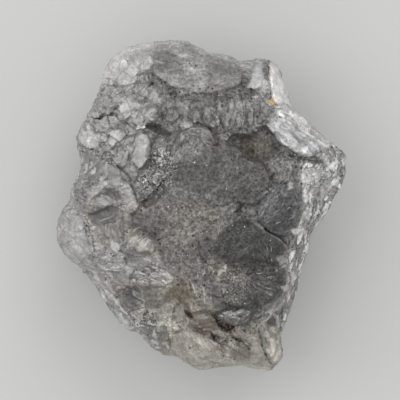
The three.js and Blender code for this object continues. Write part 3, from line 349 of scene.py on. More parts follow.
    (112, 0.15, 0.10, "flaked", (  # brown plateau
        (-0.2, -2.08), (0.1, -2.04), (0.26, -2.16), (0.42, -2.42), (0.26, -2.52), (-0.06, -2.46),
        (-0.26, -2.38))),
)

# Iron stains: outline, strength, soft edge.
STAINS = (
    (0.14, 0.12, (
        (-0.38, -1.38), (-0.5, -1.5), (-0.74, -1.7), (-0.76, -1.92), (-0.58, -1.92), (-0.42, -1.86),
        (-0.3, -2.0), (-0.18, -1.74), (-0.26, -1.5))),
    (0.26, 0.12, (
        (-0.22, -1.9), (-0.3, -2.1), (-0.2, -2.4), (0.1, -2.56), (0.4, -2.56), (0.62, -2.66), (0.82, -2.6),
        (0.8, -2.44), (0.5, -2.36), (0.3, -2.2), (0.0, -2.06))),
    (0.90, 0.05, ((-0.3, -2.06), (-0.2, -2.1), (-0.16, -2.2), (-0.24, -2.24), (-0.32, -2.16))),
    (0.70, 0.12, ((-0.18, -2.44), (0.0, -2.4), (0.14, -2.5), (0.04, -2.6), (-0.12, -2.54))),
    (0.92, 0.12, ((0.34, -2.34), (0.5, -2.36), (0.74, -2.46), (0.8, -2.58), (0.58, -2.58), (0.42, -2.48))),
    (0.60, 0.12, ((0.28, -2.66), (0.5, -2.68), (0.5, -2.88), (0.3, -2.88))),
    (0.60, 0.12, ((0.54, -2.8), (0.8, -2.78), (1.02, -2.9), (0.96, -3.04), (0.6, -3.02))),
    (0.25, 0.12, ((-0.56, -2.6), (-0.48, -2.7), (-0.56, -2.78), (-0.64, -2.68))),
    (0.05, 0.20, ((-1.4, -0.05), (-1.0, -0.05), (-0.85, -0.45), (-1.1, -0.62), (-1.4, -0.4))),
    (0.14, 0.06, ((0.7, 1.34), (1.0, 1.3), (1.3, 1.2), (1.2, 0.95), (0.95, 1.0), (0.8, 1.16))),
    (0.60, 0.04, ((1.36, 2.12), (1.43, 2.1), (1.44, 2.02), (1.38, 2.02))),
)

# Warmer and cooler parts: warmth (below 0 is bluish), soft edge and outline.
TINTS = (
    (0.40, 0.10, ((0.7, 1.34), (1.0, 1.4), (1.3, 1.3), (1.4, 1.1), (1.2, 0.9), (0.95, 0.9), (0.76, 1.1))),
    (0.45, 0.30, ((-1.5, 0.0), (-1.0, 0.1), (-0.3, -0.4), (-0.4, -1.2), (-1.0, -1.0), (-1.5, -0.6))),
    (0.30, 0.25, (
        (-1.0, -1.7), (-0.4, -1.2), (0.2, -1.9), (1.2, -2.2), (1.3, -3.4), (-0.7, -3.4), (-0.9, -2.4))),
    (0.25, 0.30, ((-1.9, -1.5), (-0.8, -1.4), (-0.7, -2.4), (-1.3, -2.4))),
    (0.30, 0.20, ((0.1, -0.6), (0.6, -0.3), (1.4, -0.6), (1.7, -1.6), (1.2, -2.0), (0.3, -2.0))),
    (-0.55, 0.10, ((1.26, 1.6), (1.6, 1.2), (2.1, 1.0), (2.4, 1.2), (1.9, 1.6), (1.5, 1.8))),
    (-0.55, 0.08, ((0.9, 2.3), (1.1, 2.9), (1.2, 2.9), (1.2, 2.3))),
    (0.35, 0.15, ((1.1, -2.3), (1.6, -2.2), (1.6, -3.3), (1.3, -3.2))),
    (-0.55, 0.15, ((1.1, 0.2), (1.5, 0.46), (2.0, 0.2), (1.9, -0.5), (1.6, -0.7), (1.1, -0.4))),
    (-0.30, 0.20, (
        (-2.2, 2.0), (-1.0, 2.0), (-0.6, 1.6), (-0.9, 1.2), (-1.3, 0.7), (-1.8, 0.9), (-2.4, 1.4))),
    (-0.25, 0.15, ((0.3, -2.2), (0.5, -2.0), (1.1, -1.9), (1.6, -1.5), (1.6, -1.9), (0.9, -2.4))),
    (-0.30, 0.20, ((1.4, 2.7), (1.4, 2.0), (1.9, 1.6), (1.9, 2.2))),
    (0.95, 0.10, (
        (-0.38, -1.38), (-0.5, -1.5), (-0.74, -1.7), (-0.78, -1.96), (-0.58, -1.96), (-0.42, -1.86),
        (-0.3, -2.1), (-0.14, -1.8), (-0.26, -1.5))),
    (0.60, 0.15, (
        (-0.2, -2.08), (0.1, -2.04), (0.26, -2.16), (0.42, -2.42), (0.26, -2.52), (-0.06, -2.46),
        (-0.26, -2.38))),
    (0.10, 0.30, ((-1.3, 0.1), (-0.4, 0.2), (0.4, 0.0), (0.3, -1.2), (-0.3, -1.4), (-1.2, -0.7))),
    (-0.50, 0.05, ((-1.8, -0.7), (-1.64, -0.74), (-1.58, -0.84), (-1.68, -0.94), (-1.78, -0.88))),
    (0.00, 0.20, ((-2.3, 0.1), (-2.1, 0.1), (-1.6, -0.1), (-1.4, -0.6), (-1.9, -0.9), (-2.3, -0.5))),
    (0.00, 0.15, ((0.3, -0.6), (0.6, -0.3), (1.4, -0.6), (1.6, -1.0), (1.0, -1.1), (0.3, -1.0))),
)

# Cracks, painted ledge shadows and fissures: half width, darkness, and the line.
CRACKS_AND_SHADOWS = (
    # The ledge that divides the blocks from the clear western lobe: a crevice with a painted shadow along
    # it.
    (0.020, 0.75, (
        (-2.44, 1.22), (-2.25, 1.12), (-2.1, 1.09), (-2.0, 1.05), (-1.95, 0.97), (-1.88, 0.92),
        (-1.77, 0.91), (-1.7, 0.83), (-1.62, 0.74), (-1.5, 0.65), (-1.42, 0.54), (-1.35, 0.40),
        (-1.3, 0.25), (-1.24, 0.06))),
    (0.015, 0.70, ((-1.77, 0.9), (-1.68, 1.06), (-1.6, 1.16), (-1.5, 1.3), (-1.42, 1.38), (-1.3, 1.42))),
    (0.013, 0.60, ((-1.3, 1.4), (-1.28, 1.2), (-1.34, 1.06), (-1.4, 0.98), (-1.34, 0.84), (-1.22, 0.7))),
    (0.023, 0.60, ((-1.42, 0.98), (-1.43, 0.88), (-1.38, 0.8))),
    (0.010, 0.70, ((-2.06, 1.74), (-1.97, 1.79), (-1.86, 1.79), (-1.74, 1.81))),
    (0.012, 0.60, ((-2.24, 1.66), (-2.15, 1.56), (-2.08, 1.46), (-1.97, 1.45), (-1.87, 1.44))),
    (0.015, 0.65, ((-1.72, 1.84), (-1.62, 1.72), (-1.58, 1.66), (-1.45, 1.72), (-1.34, 1.8))),
    (0.010, 0.60, ((-1.66, 1.6), (-1.55, 1.62), (-1.44, 1.7))),
    (0.013, 0.60, ((-1.86, 1.44), (-1.86, 1.3), (-1.94, 1.21))),
    (0.016, 0.70, ((-1.82, 1.22), (-1.78, 1.19))),
    (0.011, 0.60, ((-2.0, 2.41), (-1.86, 2.4), (-1.72, 2.36), (-1.62, 2.26))),
    (0.010, 0.40, (
        (-1.22, 3.21), (-1.32, 3.14), (-1.47, 3.13), (-1.52, 2.94), (-1.44, 2.8), (-1.32, 2.68),
        (-1.25, 2.64))),
    (0.010, 0.35, ((-1.59, 2.88), (-1.62, 2.68), (-1.74, 2.54), (-1.8, 2.43))),
    (0.010, 0.35, ((-1.86, 2.78), (-1.78, 2.66), (-1.84, 2.56), (-1.94, 2.5))),
    (0.010, 0.30, ((-1.06, 3.16), (-1.1, 3.0), (-1.2, 2.92), (-1.18, 2.78))),
    (0.012, 0.75, ((-1.22, 2.57), (-1.1, 2.63), (-1.02, 2.56), (-1.04, 2.46))),
    (0.010, 0.60, ((-1.1, 2.42), (-1.2, 2.4), (-1.24, 2.44))),
    (0.012, 0.75, ((-1.37, 2.34), (-1.29, 2.24), (-1.19, 2.16), (-1.05, 2.13))),
    (0.010, 0.60, ((-1.17, 2.36), (-1.06, 2.3), (-1.02, 2.2), (-1.1, 2.12))),
    (0.010, 0.70, ((-2.29, 1.78), (-2.16, 1.75), (-2.05, 1.73), (-1.92, 1.79))),
    (0.010, 0.70, ((-1.72, 1.79), (-1.62, 1.71), (-1.55, 1.64), (-1.44, 1.62), (-1.36, 1.54))),
    (0.010, 0.65, (
        (-2.22, 1.68), (-2.14, 1.58), (-2.07, 1.48), (-1.9, 1.46), (-1.82, 1.51), (-1.74, 1.64))),
    (0.010, 0.60, ((-1.72, 1.44), (-1.82, 1.38), (-1.85, 1.24), (-1.92, 1.2))),
    (0.010, 0.50, ((-1.62, 1.14), (-1.5, 1.3), (-1.36, 1.36))),
    (0.010, 0.45, ((-1.56, 0.86), (-1.5, 1.02), (-1.44, 1.1))),
    (0.010, 0.50, ((-1.66, 1.98), (-1.6, 2.1), (-1.5, 2.2), (-1.4, 2.26))),
    (0.010, 0.50, ((-2.1, 2.04), (-1.96, 1.96), (-1.84, 1.98), (-1.74, 1.9))),
    (0.010, 0.45, ((-1.96, 2.22), (-1.84, 2.14), (-1.7, 2.14), (-1.62, 2.22))),
    (0.010, 0.60, ((-0.9, 1.94), (-0.8, 1.86), (-0.8, 1.7), (-0.7, 1.6))),
    (0.010, 0.65, ((-0.52, 1.9), (-0.56, 1.74), (-0.5, 1.6), (-0.4, 1.5))),
    (0.010, 0.60, ((-0.4, 1.7), (-0.28, 1.76), (-0.14, 1.64), (-0.04, 1.58))),
    (0.011, 0.85, ((0.0, 1.6), (0.1, 1.58), (0.2, 1.5), (0.28, 1.4), (0.34, 1.28))),
    (0.010, 0.60, ((0.32, 1.46), (0.44, 1.52), (0.42, 1.66), (0.34, 1.74))),
    (0.018, 1.00, ((2.21, -0.07), (2.19, -0.18), (2.17, -0.28))),
    (0.010, 0.60, ((2.16, 0.12), (2.28, 0.02), (2.36, -0.1))),
    (0.010, 0.50, ((2.3, 0.86), (2.44, 0.78), (2.6, 0.8), (2.7, 0.9))),
    (0.010, 0.45, ((2.52, 0.56), (2.62, 0.4), (2.58, 0.24))),
    (0.010, 0.45, ((2.06, -0.4), (2.0, -0.6), (2.04, -0.8), (1.98, -1.0))),
    (0.010, 0.50, ((1.86, -1.0), (1.94, -1.2), (1.9, -1.42))),
    (0.012, 0.80, ((-1.34, 2.24), (-1.36, 2.34), (-1.27, 2.36), (-1.22, 2.42))),
    (0.012, 0.60, ((-1.22, 2.44), (-1.21, 2.56), (-1.14, 2.62), (-1.04, 2.6), (-1.0, 2.5))),
    (0.010, 0.45, ((-0.96, 2.1), (-1.08, 2.0), (-1.16, 1.92), (-1.2, 1.78))),
    (0.016, 0.55, ((-1.3, 1.94), (-1.24, 1.86), (-1.28, 1.74))),
    (0.013, 0.50, ((-1.68, 1.98), (-1.6, 2.05), (-1.5, 2.03))),
    (0.030, 0.60, ((-1.68, 2.02), (-1.58, 2.03))),
    (0.030, 1.00, ((-1.04, 1.57), (-0.94, 1.53), (-0.86, 1.55), (-0.78, 1.48))),
    (0.026, 1.00, ((-0.9, 1.47), (-0.82, 1.42), (-0.72, 1.44), (-0.64, 1.4))),
    (0.016, 0.90, ((-0.72, 1.52), (-0.66, 1.46), (-0.58, 1.42), (-0.5, 1.44))),
    # Round the tongue.
    (0.014, 0.40, (
        (-0.61, 0.62), (-0.6, 0.95), (-0.54, 1.24), (-0.43, 1.42), (-0.22, 1.55), (0.02, 1.58),
        (0.18, 1.48), (0.3, 1.3))),
    # Painted shadow along the tongue's north-east edge, where it stands above the hollow.
    (0.018, 0.75, (
        (0.46, 1.26), (0.55, 1.18), (0.72, 1.13), (0.81, 1.03), (0.87, 0.93), (0.95, 0.88), (1.08, 0.87),
        (1.2, 0.85), (1.28, 0.74), (1.36, 0.6), (1.41, 0.46))),
    (0.014, 0.35, ((1.41, 0.46), (1.3, 0.28), (1.2, 0.2), (1.14, 0.06), (1.13, -0.2))),
    (0.012, 0.35, ((1.46, 0.45), (1.58, 0.41), (1.72, 0.44))),
    # Painted shadow cast by the east terrace's edge on the south-east dome.
    (0.016, 0.80, (
        (1.12, -0.34), (1.2, -0.42), (1.3, -0.52), (1.42, -0.6), (1.58, -0.67), (1.68, -0.76),
        (1.72, -0.84))),
    (0.013, 0.35, ((0.38, -0.31), (0.55, -0.24), (0.7, -0.22), (0.88, -0.24), (1.05, -0.3))),
    (0.014, 0.35, ((0.6, 0.12), (0.73, 0.0), (0.7, -0.13), (0.6, -0.22))),
    (0.018, 0.90, ((0.48, -1.12), (0.6, -1.19))),
    (0.010, 0.20, ((0.6, -1.2), (0.9, -1.22), (1.2, -1.24), (1.5, -1.32))),
    (0.015, 0.85, ((0.45, -1.88), (0.55, -1.95), (0.68, -2.0), (0.82, -2.03))),
    (0.017, 0.55, ((0.9, -2.2), (1.0, -2.08), (1.1, -2.0))),
    (0.012, 0.30, ((1.0, 1.36), (1.02, 1.2), (1.02, 1.06))),
    (0.020, 0.70, ((1.46, 1.18), (1.5, 1.1))),
    # North-east.
    (0.017, 0.90, ((1.33, 2.86), (1.34, 2.76))),
    (0.011, 0.80, ((1.34, 2.76), (1.355, 2.58))),
    (0.015, 0.60, ((0.86, 2.9), (0.96, 2.93), (1.08, 2.88), (1.04, 2.78))),
    (0.011, 0.50, ((1.3, 2.46), (1.3, 2.36))),
    (0.015, 0.45, ((1.58, 1.76), (1.8, 1.62), (2.05, 1.4), (2.3, 1.22))),
    (0.013, 0.45, ((1.8, 1.36), (1.96, 1.28), (2.1, 1.24))),
    (0.016, 0.60, ((1.7, 1.06), (1.9, 0.95), (2.1, 0.9))),
    # South.
    (0.036, 1.00, ((0.26, -2.14), (0.3, -2.24), (0.36, -2.34), (0.5, -2.42), (0.64, -2.41))),
    (0.042, 1.00, ((0.36, -2.36), (0.44, -2.42), (0.52, -2.4))),
    (0.042, 1.00, ((0.2, -2.54), (0.28, -2.61), (0.38, -2.65), (0.5, -2.69))),
    (0.044, 1.00, ((0.6, -2.58), (0.72, -2.65), (0.8, -2.69))),
    (0.028, 1.00, ((0.78, -2.68), (0.88, -2.74), (0.95, -2.83))),
    (0.020, 0.90, ((0.46, -2.72), (0.5, -2.65), (0.54, -2.56))),
    (0.016, 0.85, ((0.4, -2.86), (0.46, -2.94), (0.44, -3.02))),
    (0.030, 0.95, ((-0.32, -2.07), (-0.24, -2.12), (-0.19, -2.2))),
    (0.012, 0.80, ((-0.3, -2.24), (-0.27, -2.29))),
    (0.016, 0.60, ((-0.33, -2.42), (-0.5, -2.54), (-0.6, -2.68), (-0.65, -2.93))),
    (0.018, 0.90, ((1.14, -2.44), (1.2, -2.74), (1.28, -2.98), (1.42, -3.2))),
    (0.013, 0.60, ((1.3, -2.3), (1.36, -2.18), (1.46, -2.16))),
    (0.026, 1.00, ((1.62, -2.06), (1.605, -2.22), (1.59, -2.36), (1.56, -2.48))),
    # West.
    (0.011, 0.50, ((-2.2, 0.02), (-2.05, 0.13), (-1.96, 0.22), (-1.84, 0.2), (-1.65, 0.06))),
    (0.010, 0.45, ((-1.9, 0.26), (-1.72, 0.22), (-1.6, 0.12))),
    (0.011, 0.45, ((-2.56, -0.07), (-2.42, -0.09), (-2.28, -0.1))),
    (0.015, 0.45, ((-2.0, -1.27), (-1.86, -1.33), (-1.7, -1.33), (-1.58, -1.24))),
    (0.011, 0.55, ((-1.22, -1.53), (-1.1, -1.57), (-1.0, -1.56))),
    (0.008, 0.55, (
        (-2.2, 0.1), (-2.02, 0.24), (-1.88, 0.38), (-1.78, 0.44), (-1.62, 0.34), (-1.52, 0.24))),
    (0.007, 0.50, ((-1.82, 0.4), (-1.7, 0.3), (-1.56, 0.16))),
    (0.007, 0.50, ((-1.76, 0.42), (-1.62, 0.3), (-1.5, 0.2))),
    (0.009, 0.50, ((-1.9, 0.86), (-1.76, 0.8), (-1.6, 0.66), (-1.5, 0.48))),
    (0.008, 0.60, ((-2.12, 0.44), (-2.0, 0.56), (-1.94, 0.66))),
    (0.008, 0.40, ((-1.66, -0.3), (-1.6, -0.5), (-1.5, -0.6), (-1.5, -0.74))),
    (0.008, 0.50, ((-1.46, -0.78), (-1.36, -0.94), (-1.3, -1.08))),
    (0.007, 0.50, ((0.9, -0.62), (0.94, -0.8), (0.94, -1.0))),
    (0.007, 0.50, ((1.04, -0.6), (1.08, -0.8), (1.06, -1.0))),
    (0.007, 0.55, ((1.16, -0.64), (1.22, -0.82), (1.2, -1.04))),
    (0.007, 0.50, ((1.3, -0.7), (1.34, -0.86), (1.34, -1.06))),
    (0.007, 0.55, ((1.42, -0.76), (1.46, -0.92), (1.46, -1.12))),
    (0.009, 0.60, ((-1.14, 3.1), (-1.26, 3.0), (-1.38, 3.04))),
    (0.009, 0.55, ((-1.5, 2.92), (-1.4, 2.86), (-1.26, 2.9), (-1.12, 2.84))),
    (0.009, 0.50, ((-1.7, 2.9), (-1.62, 2.8), (-1.64, 2.7))),
    # Upright cracks of the northern slope.
    (0.008, 0.55, ((0.42, 1.6), (0.44, 1.76), (0.4, 1.9))),
    (0.008, 0.60, ((0.54, 1.5), (0.56, 1.66), (0.52, 1.84), (0.56, 1.98))),
    (0.008, 0.55, ((0.66, 1.46), (0.7, 1.62), (0.68, 1.8))),
    (0.008, 0.60, ((0.78, 1.5), (0.8, 1.7), (0.84, 1.86), (0.82, 2.02))),
    (0.008, 0.50, ((0.92, 1.5), (0.9, 1.66), (0.96, 1.82))),
    (0.008, 0.55, ((1.04, 1.6), (1.06, 1.76), (1.02, 1.94))),
    (0.008, 0.50, ((1.16, 1.72), (1.14, 1.88), (1.2, 2.0))),
    (0.008, 0.50, ((-0.2, 1.8), (-0.24, 1.94), (-0.16, 2.06))),
    (0.008, 0.50, ((0.02, 1.7), (0.0, 1.86), (0.08, 1.98))),
    (0.008, 0.50, ((0.18, 1.66), (0.22, 1.8), (0.16, 1.92))),
)

# Fine bright fissures and flakes, and painted highlights on lit rims: half width, brightness, and the
# line.
FISSURES_AND_HIGHLIGHTS = (
    (0.014, 0.56, ((1.62, 1.2), (1.8, 1.1), (1.98, 1.03))),
    (0.013, 0.50, ((1.36, 1.6), (1.5, 1.5), (1.7, 1.44), (1.95, 1.36))),
    (0.011, 0.43, ((1.7, 1.5), (2.0, 1.4), (2.2, 1.26), (2.4, 1.2))),
    (0.010, 0.43, ((1.62, 2.0), (1.56, 1.9), (1.46, 1.84))),
    (0.014, 0.50, ((1.12, 2.17), (1.24, 2.14), (1.34, 2.04), (1.46, 1.95), (1.54, 1.8))),
    (0.021, 0.62, ((1.06, 2.14), (1.1, 2.13))),
    (0.014, 0.50, ((2.02, 0.56), (2.06, 0.7), (2.12, 0.6), (2.24, 0.6))),
    (0.015, 0.56, ((2.3, 0.68), (2.38, 0.64), (2.46, 0.7))),
    (0.014, 0.43, ((2.46, 0.8), (2.52, 0.72), (2.56, 0.76))),
    (0.011, 0.43, ((2.05, 0.3), (2.1, 0.16), (2.16, 0.05))),
    (0.014, 0.56, ((2.06, -0.2), (2.14, -0.28), (2.1, -0.32))),
    (0.010, 0.43, ((2.3, 0.3), (2.44, 0.16), (2.56, 0.1))),
    (0.014, 0.56, ((1.8, -0.52), (1.92, -0.58), (1.98, -0.5), (2.02, -0.56))),
    (0.011, 0.50, ((1.9, -0.6), (2.0, -0.72), (2.02, -0.8))),
    (0.011, 0.50, ((1.76, -0.86), (1.8, -1.0), (1.82, -1.2), (1.8, -1.36))),
    (0.010, 0.43, ((1.88, -1.08), (1.9, -1.3), (1.86, -1.5))),
    (0.014, 0.50, ((1.62, -1.2), (1.66, -1.18))),
    (0.010, 0.43, ((1.74, -1.4), (1.72, -1.6), (1.66, -1.76))),
    (0.014, 0.50, ((1.6, -1.98), (1.66, -1.9), (1.66, -1.82))),
    (0.015, 0.56, ((1.42, -3.14), (1.5, -3.0), (1.58, -2.88))),
    (0.010, 0.31, ((0.6, -2.2), (0.76, -2.1), (0.82, -2.04))),
    (0.011, 0.43, ((-1.0, -1.16), (-0.8, -1.26), (-0.6, -1.36), (-0.48, -1.42))),
    (0.010, 0.31, ((-1.3, -1.46), (-1.1, -1.42), (-0.9, -1.46))),
    (0.009, 0.44, ((-1.95, -0.29), (-1.84, -0.25), (-1.76, -0.21))),
    (0.010, 0.17, (
        (-0.55, 0.9), (-0.48, 1.26), (-0.38, 1.41), (-0.2, 1.51), (0.02, 1.53), (0.16, 1.43),
        (0.26, 1.28))),
    (0.009, 0.31, ((1.14, -2.44), (1.2, -2.26), (1.3, -2.14), (1.46, -2.1))),
    (0.021, 0.62, ((-2.68, -0.2), (-2.65, -0.22))),
    (0.017, 0.43, ((-2.86, -0.42), (-2.84, -0.58))),
    (0.013, 0.43, ((-1.88, -1.72), (-1.84, -1.84))),
    (0.011, 0.43, ((-1.86, -1.28), (-1.7, -1.27), (-1.62, -1.2))),
    (0.012, 0.31, ((-1.42, -0.8), (-1.3, -0.78), (-1.2, -0.84))),
    (0.011, 0.43, ((-1.64, -0.9), (-1.58, -0.94))),
    (0.011, 0.43, ((-1.6, -0.7), (-1.58, -0.8))),
    (0.010, 0.37, ((-1.34, 1.8), (-1.33, 1.68), (-1.32, 1.64))),
    (0.017, 0.56, ((-1.36, 2.36), (-1.28, 2.38), (-1.24, 2.43))),
    (0.014, 0.43, ((-1.98, 2.08), (-1.93, 2.02))),
    (0.014, 0.43, ((-1.3, 2.62), (-1.2, 2.7), (-1.24, 2.8))),
    (0.011, 0.37, ((-0.56, 3.02), (-0.4, 2.96), (-0.2, 2.94))),
    (0.010, 0.37, ((-0.86, 2.84), (-0.74, 2.8), (-0.6, 2.8))),
    (0.010, 0.37, ((-0.48, 3.04), (-0.3, 3.0))),
    (0.009, 0.37, ((-0.52, -2.3), (-0.42, -2.36), (-0.33, -2.42))),
    (0.010, 0.37, ((0.2, -2.78), (0.28, -2.86), (0.3, -2.82))),
    (0.008, 0.31, ((1.26, -2.22), (1.32, -2.14), (1.44, -2.1), (1.52, -2.2), (1.54, -2.4))),
    (0.008, 0.31, ((-2.1, 0.02), (-1.9, 0.02), (-1.7, 0.06), (-1.5, 0.12))),
    (0.008, 0.31, ((-2.2, 0.14), (-2.06, 0.26), (-1.9, 0.4), (-1.7, 0.46), (-1.54, 0.44))),
    (0.009, 0.37, ((-2.46, 0.56), (-2.42, 0.42), (-2.36, 0.34))),
    (0.009, 0.37, ((-2.62, -0.62), (-2.6, -0.48), (-2.62, -0.36))),
    (0.007, 0.37, ((-1.1, -1.0), (-0.9, -1.1), (-0.7, -1.22))),
    (0.007, 0.37, ((-1.16, -1.08), (-0.96, -1.18), (-0.76, -1.3))),
    (0.007, 0.37, ((-1.2, -1.16), (-1.04, -1.26), (-0.9, -1.36))),
    # Feathers of the dark south-western chip, and the bluish bars above the brown wedge.
    (0.009, 0.36, ((-1.44, -1.56), (-1.3, -1.60), (-1.16, -1.66))),
    (0.008, 0.32, ((-1.40, -1.66), (-1.26, -1.72), (-1.14, -1.80))),
    (0.009, 0.40, ((-1.34, -1.74), (-1.22, -1.82), (-1.1, -1.88))),
    (0.008, 0.30, ((-1.36, -1.84), (-1.24, -1.92), (-1.16, -1.98))),
    (0.008, 0.34, ((-1.28, -1.96), (-1.18, -2.04))),
    (0.008, 0.30, ((-1.2, -1.56), (-1.06, -1.60), (-0.94, -1.66))),
    (0.018, 0.34, ((-0.2, -1.5), (-0.12, -1.66), (-0.08, -1.82))),
    (0.016, 0.32, ((0.02, -1.56), (0.06, -1.72), (0.08, -1.9))),
    (0.016, 0.30, ((0.16, -1.64), (0.19, -1.8), (0.2, -1.94))),
    # Hairs of the domes.
    (0.007, 0.14, ((1.04, -0.66), (1.1, -0.8), (1.1, -0.9))),
    (0.007, 0.14, ((1.26, -0.74), (1.3, -0.86), (1.29, -0.96))),
    (0.007, 0.12, ((1.42, -0.84), (1.44, -0.96), (1.42, -1.06))),
    (0.007, 0.12, ((0.5, -0.52), (0.62, -0.62), (0.66, -0.76))),
    (0.007, 0.14, ((1.06, -1.5), (1.18, -1.52), (1.28, -1.5))),
    (0.007, 0.14, ((1.1, -1.62), (1.22, -1.68), (1.36, -1.68))),
    (0.007, 0.12, ((1.0, -1.76), (1.12, -1.84), (1.22, -1.86))),
    (0.007, 0.14, ((1.34, -0.06), (1.44, 0.02), (1.5, 0.1))),
    (0.007, 0.12, ((1.5, -0.34), (1.6, -0.3), (1.7, -0.22))),
    # Edges of the south-eastern foot.
    (0.011, 0.40, ((1.23, -2.34), (1.32, -2.22), (1.45, -2.16), (1.5, -2.26), (1.52, -2.42))),
    (0.012, 0.36, ((1.34, -2.5), (1.40, -2.7), (1.48, -2.88), (1.5, -3.0))),
    (0.010, 0.30, ((1.46, -2.5), (1.52, -2.66), (1.56, -2.8))),
    (0.010, 0.26, ((1.22, -2.52), (1.28, -2.74), (1.38, -2.96))),
    (0.012, 0.30, ((0.86, -2.3), (0.98, -2.2), (1.12, -2.16), (1.22, -2.08))),
    (0.010, 0.26, ((0.5, -2.12), (0.62, -2.2), (0.74, -2.22))),
    (0.009, 0.30, ((0.7, -2.3), (0.8, -2.2), (0.92, -2.16))),
    # Painted highlights along the lit rims of the domes and of the terrace.
    (0.016, 0.22, (
        (0.3, -0.62), (0.44, -0.42), (0.66, -0.31), (0.94, -0.29), (1.1, -0.36), (1.22, -0.48),
        (1.4, -0.6), (1.56, -0.7), (1.66, -0.82))),
    (0.018, 0.30, ((0.22, -1.56), (0.3, -1.4), (0.4, -1.22), (0.5, -1.17))),
    (0.014, 0.25, ((1.14, -0.3), (1.14, 0.06), (1.22, 0.22), (1.36, 0.32))),
)

# Fields with a relief of their own: outline and soft edge.
PEBBLES = (0.12, ((-1.0, 0.96), (-0.86, 1.12), (-0.62, 1.08), (-0.48, 0.94), (-0.44, 0.7),
                  (-0.56, 0.46), (-0.76, 0.3), (-1.06, 0.24), (-1.3, 0.4), (-1.24, 0.62),
                  (-1.06, 0.74)))
CELLS = (0.15, ((-2.4, 1.5), (-2.0, 2.36), (-1.4, 2.34), (-1.1, 2.6), (-0.9, 2.2), (-0.7, 1.7),
                (-1.3, 1.5), (-1.7, 0.95), (-2.1, 1.1)))

# Ledges that the etch has softened: outline and soft edge.
SOFTENED = (
    (0.06, (
        (0.3, -1.0), (0.7, -1.04), (1.1, -1.06), (1.5, -1.14), (1.74, -1.2), (1.7, -1.42), (1.3, -1.34),
        (0.9, -1.3), (0.5, -1.3), (0.3, -1.16))),
    (0.05, ((1.3, 0.2), (1.36, 0.52), (1.5, 0.54), (1.62, 0.38), (1.46, 0.2))),
    (0.05, ((0.6, -0.16), (0.84, -0.14), (1.08, -0.24), (1.1, -0.34), (0.9, -0.36), (0.6, -0.3))),
    (0.08, (
        (-0.1, -0.6), (0.2, -0.4), (0.5, -0.2), (0.76, -0.2), (0.7, -0.4), (0.4, -0.5), (0.3, -0.8),
        (0.36, -1.1), (0.1, -1.1))),
    (0.06, (
        (0.08, -1.5), (0.28, -1.3), (0.36, -1.5), (0.36, -1.8), (0.5, -2.0), (0.3, -2.1), (0.16, -1.8))),
    (0.06, (
        (1.26, 0.9), (1.34, 1.06), (1.6, 1.08), (1.84, 0.9), (1.84, 0.4), (1.68, 0.4), (1.66, 0.86),
        (1.44, 0.92))),
    (0.06, ((1.84, 0.3), (2.04, 0.3), (2.04, -0.4), (1.86, -0.46), (1.84, -0.2))),
    (0.06, ((-0.68, 0.4), (-0.68, 1.2), (-0.46, 1.5), (-0.4, 1.3), (-0.5, 0.9), (-0.48, 0.4))),
    (0.05, ((-1.1, 1.62), (-0.8, 1.64), (-0.64, 1.46), (-0.7, 1.32), (-1.08, 1.44))),
)

# Ripples along an edge, as growth leaves them: the edge, spacing, height and reach.
RIPPLES = (
    (0.058, 0.005, 0.36, (
        (-0.56, 0.9), (-0.49, 1.28), (-0.39, 1.43), (-0.2, 1.53), (0.02, 1.55), (0.17, 1.45),
        (0.3, 1.28))),
    (0.060, 0.006, 0.45, ((-0.62, -2.76), (-0.42, -2.5), (-0.2, -2.42), (0.06, -2.54), (0.3, -2.72))),
)

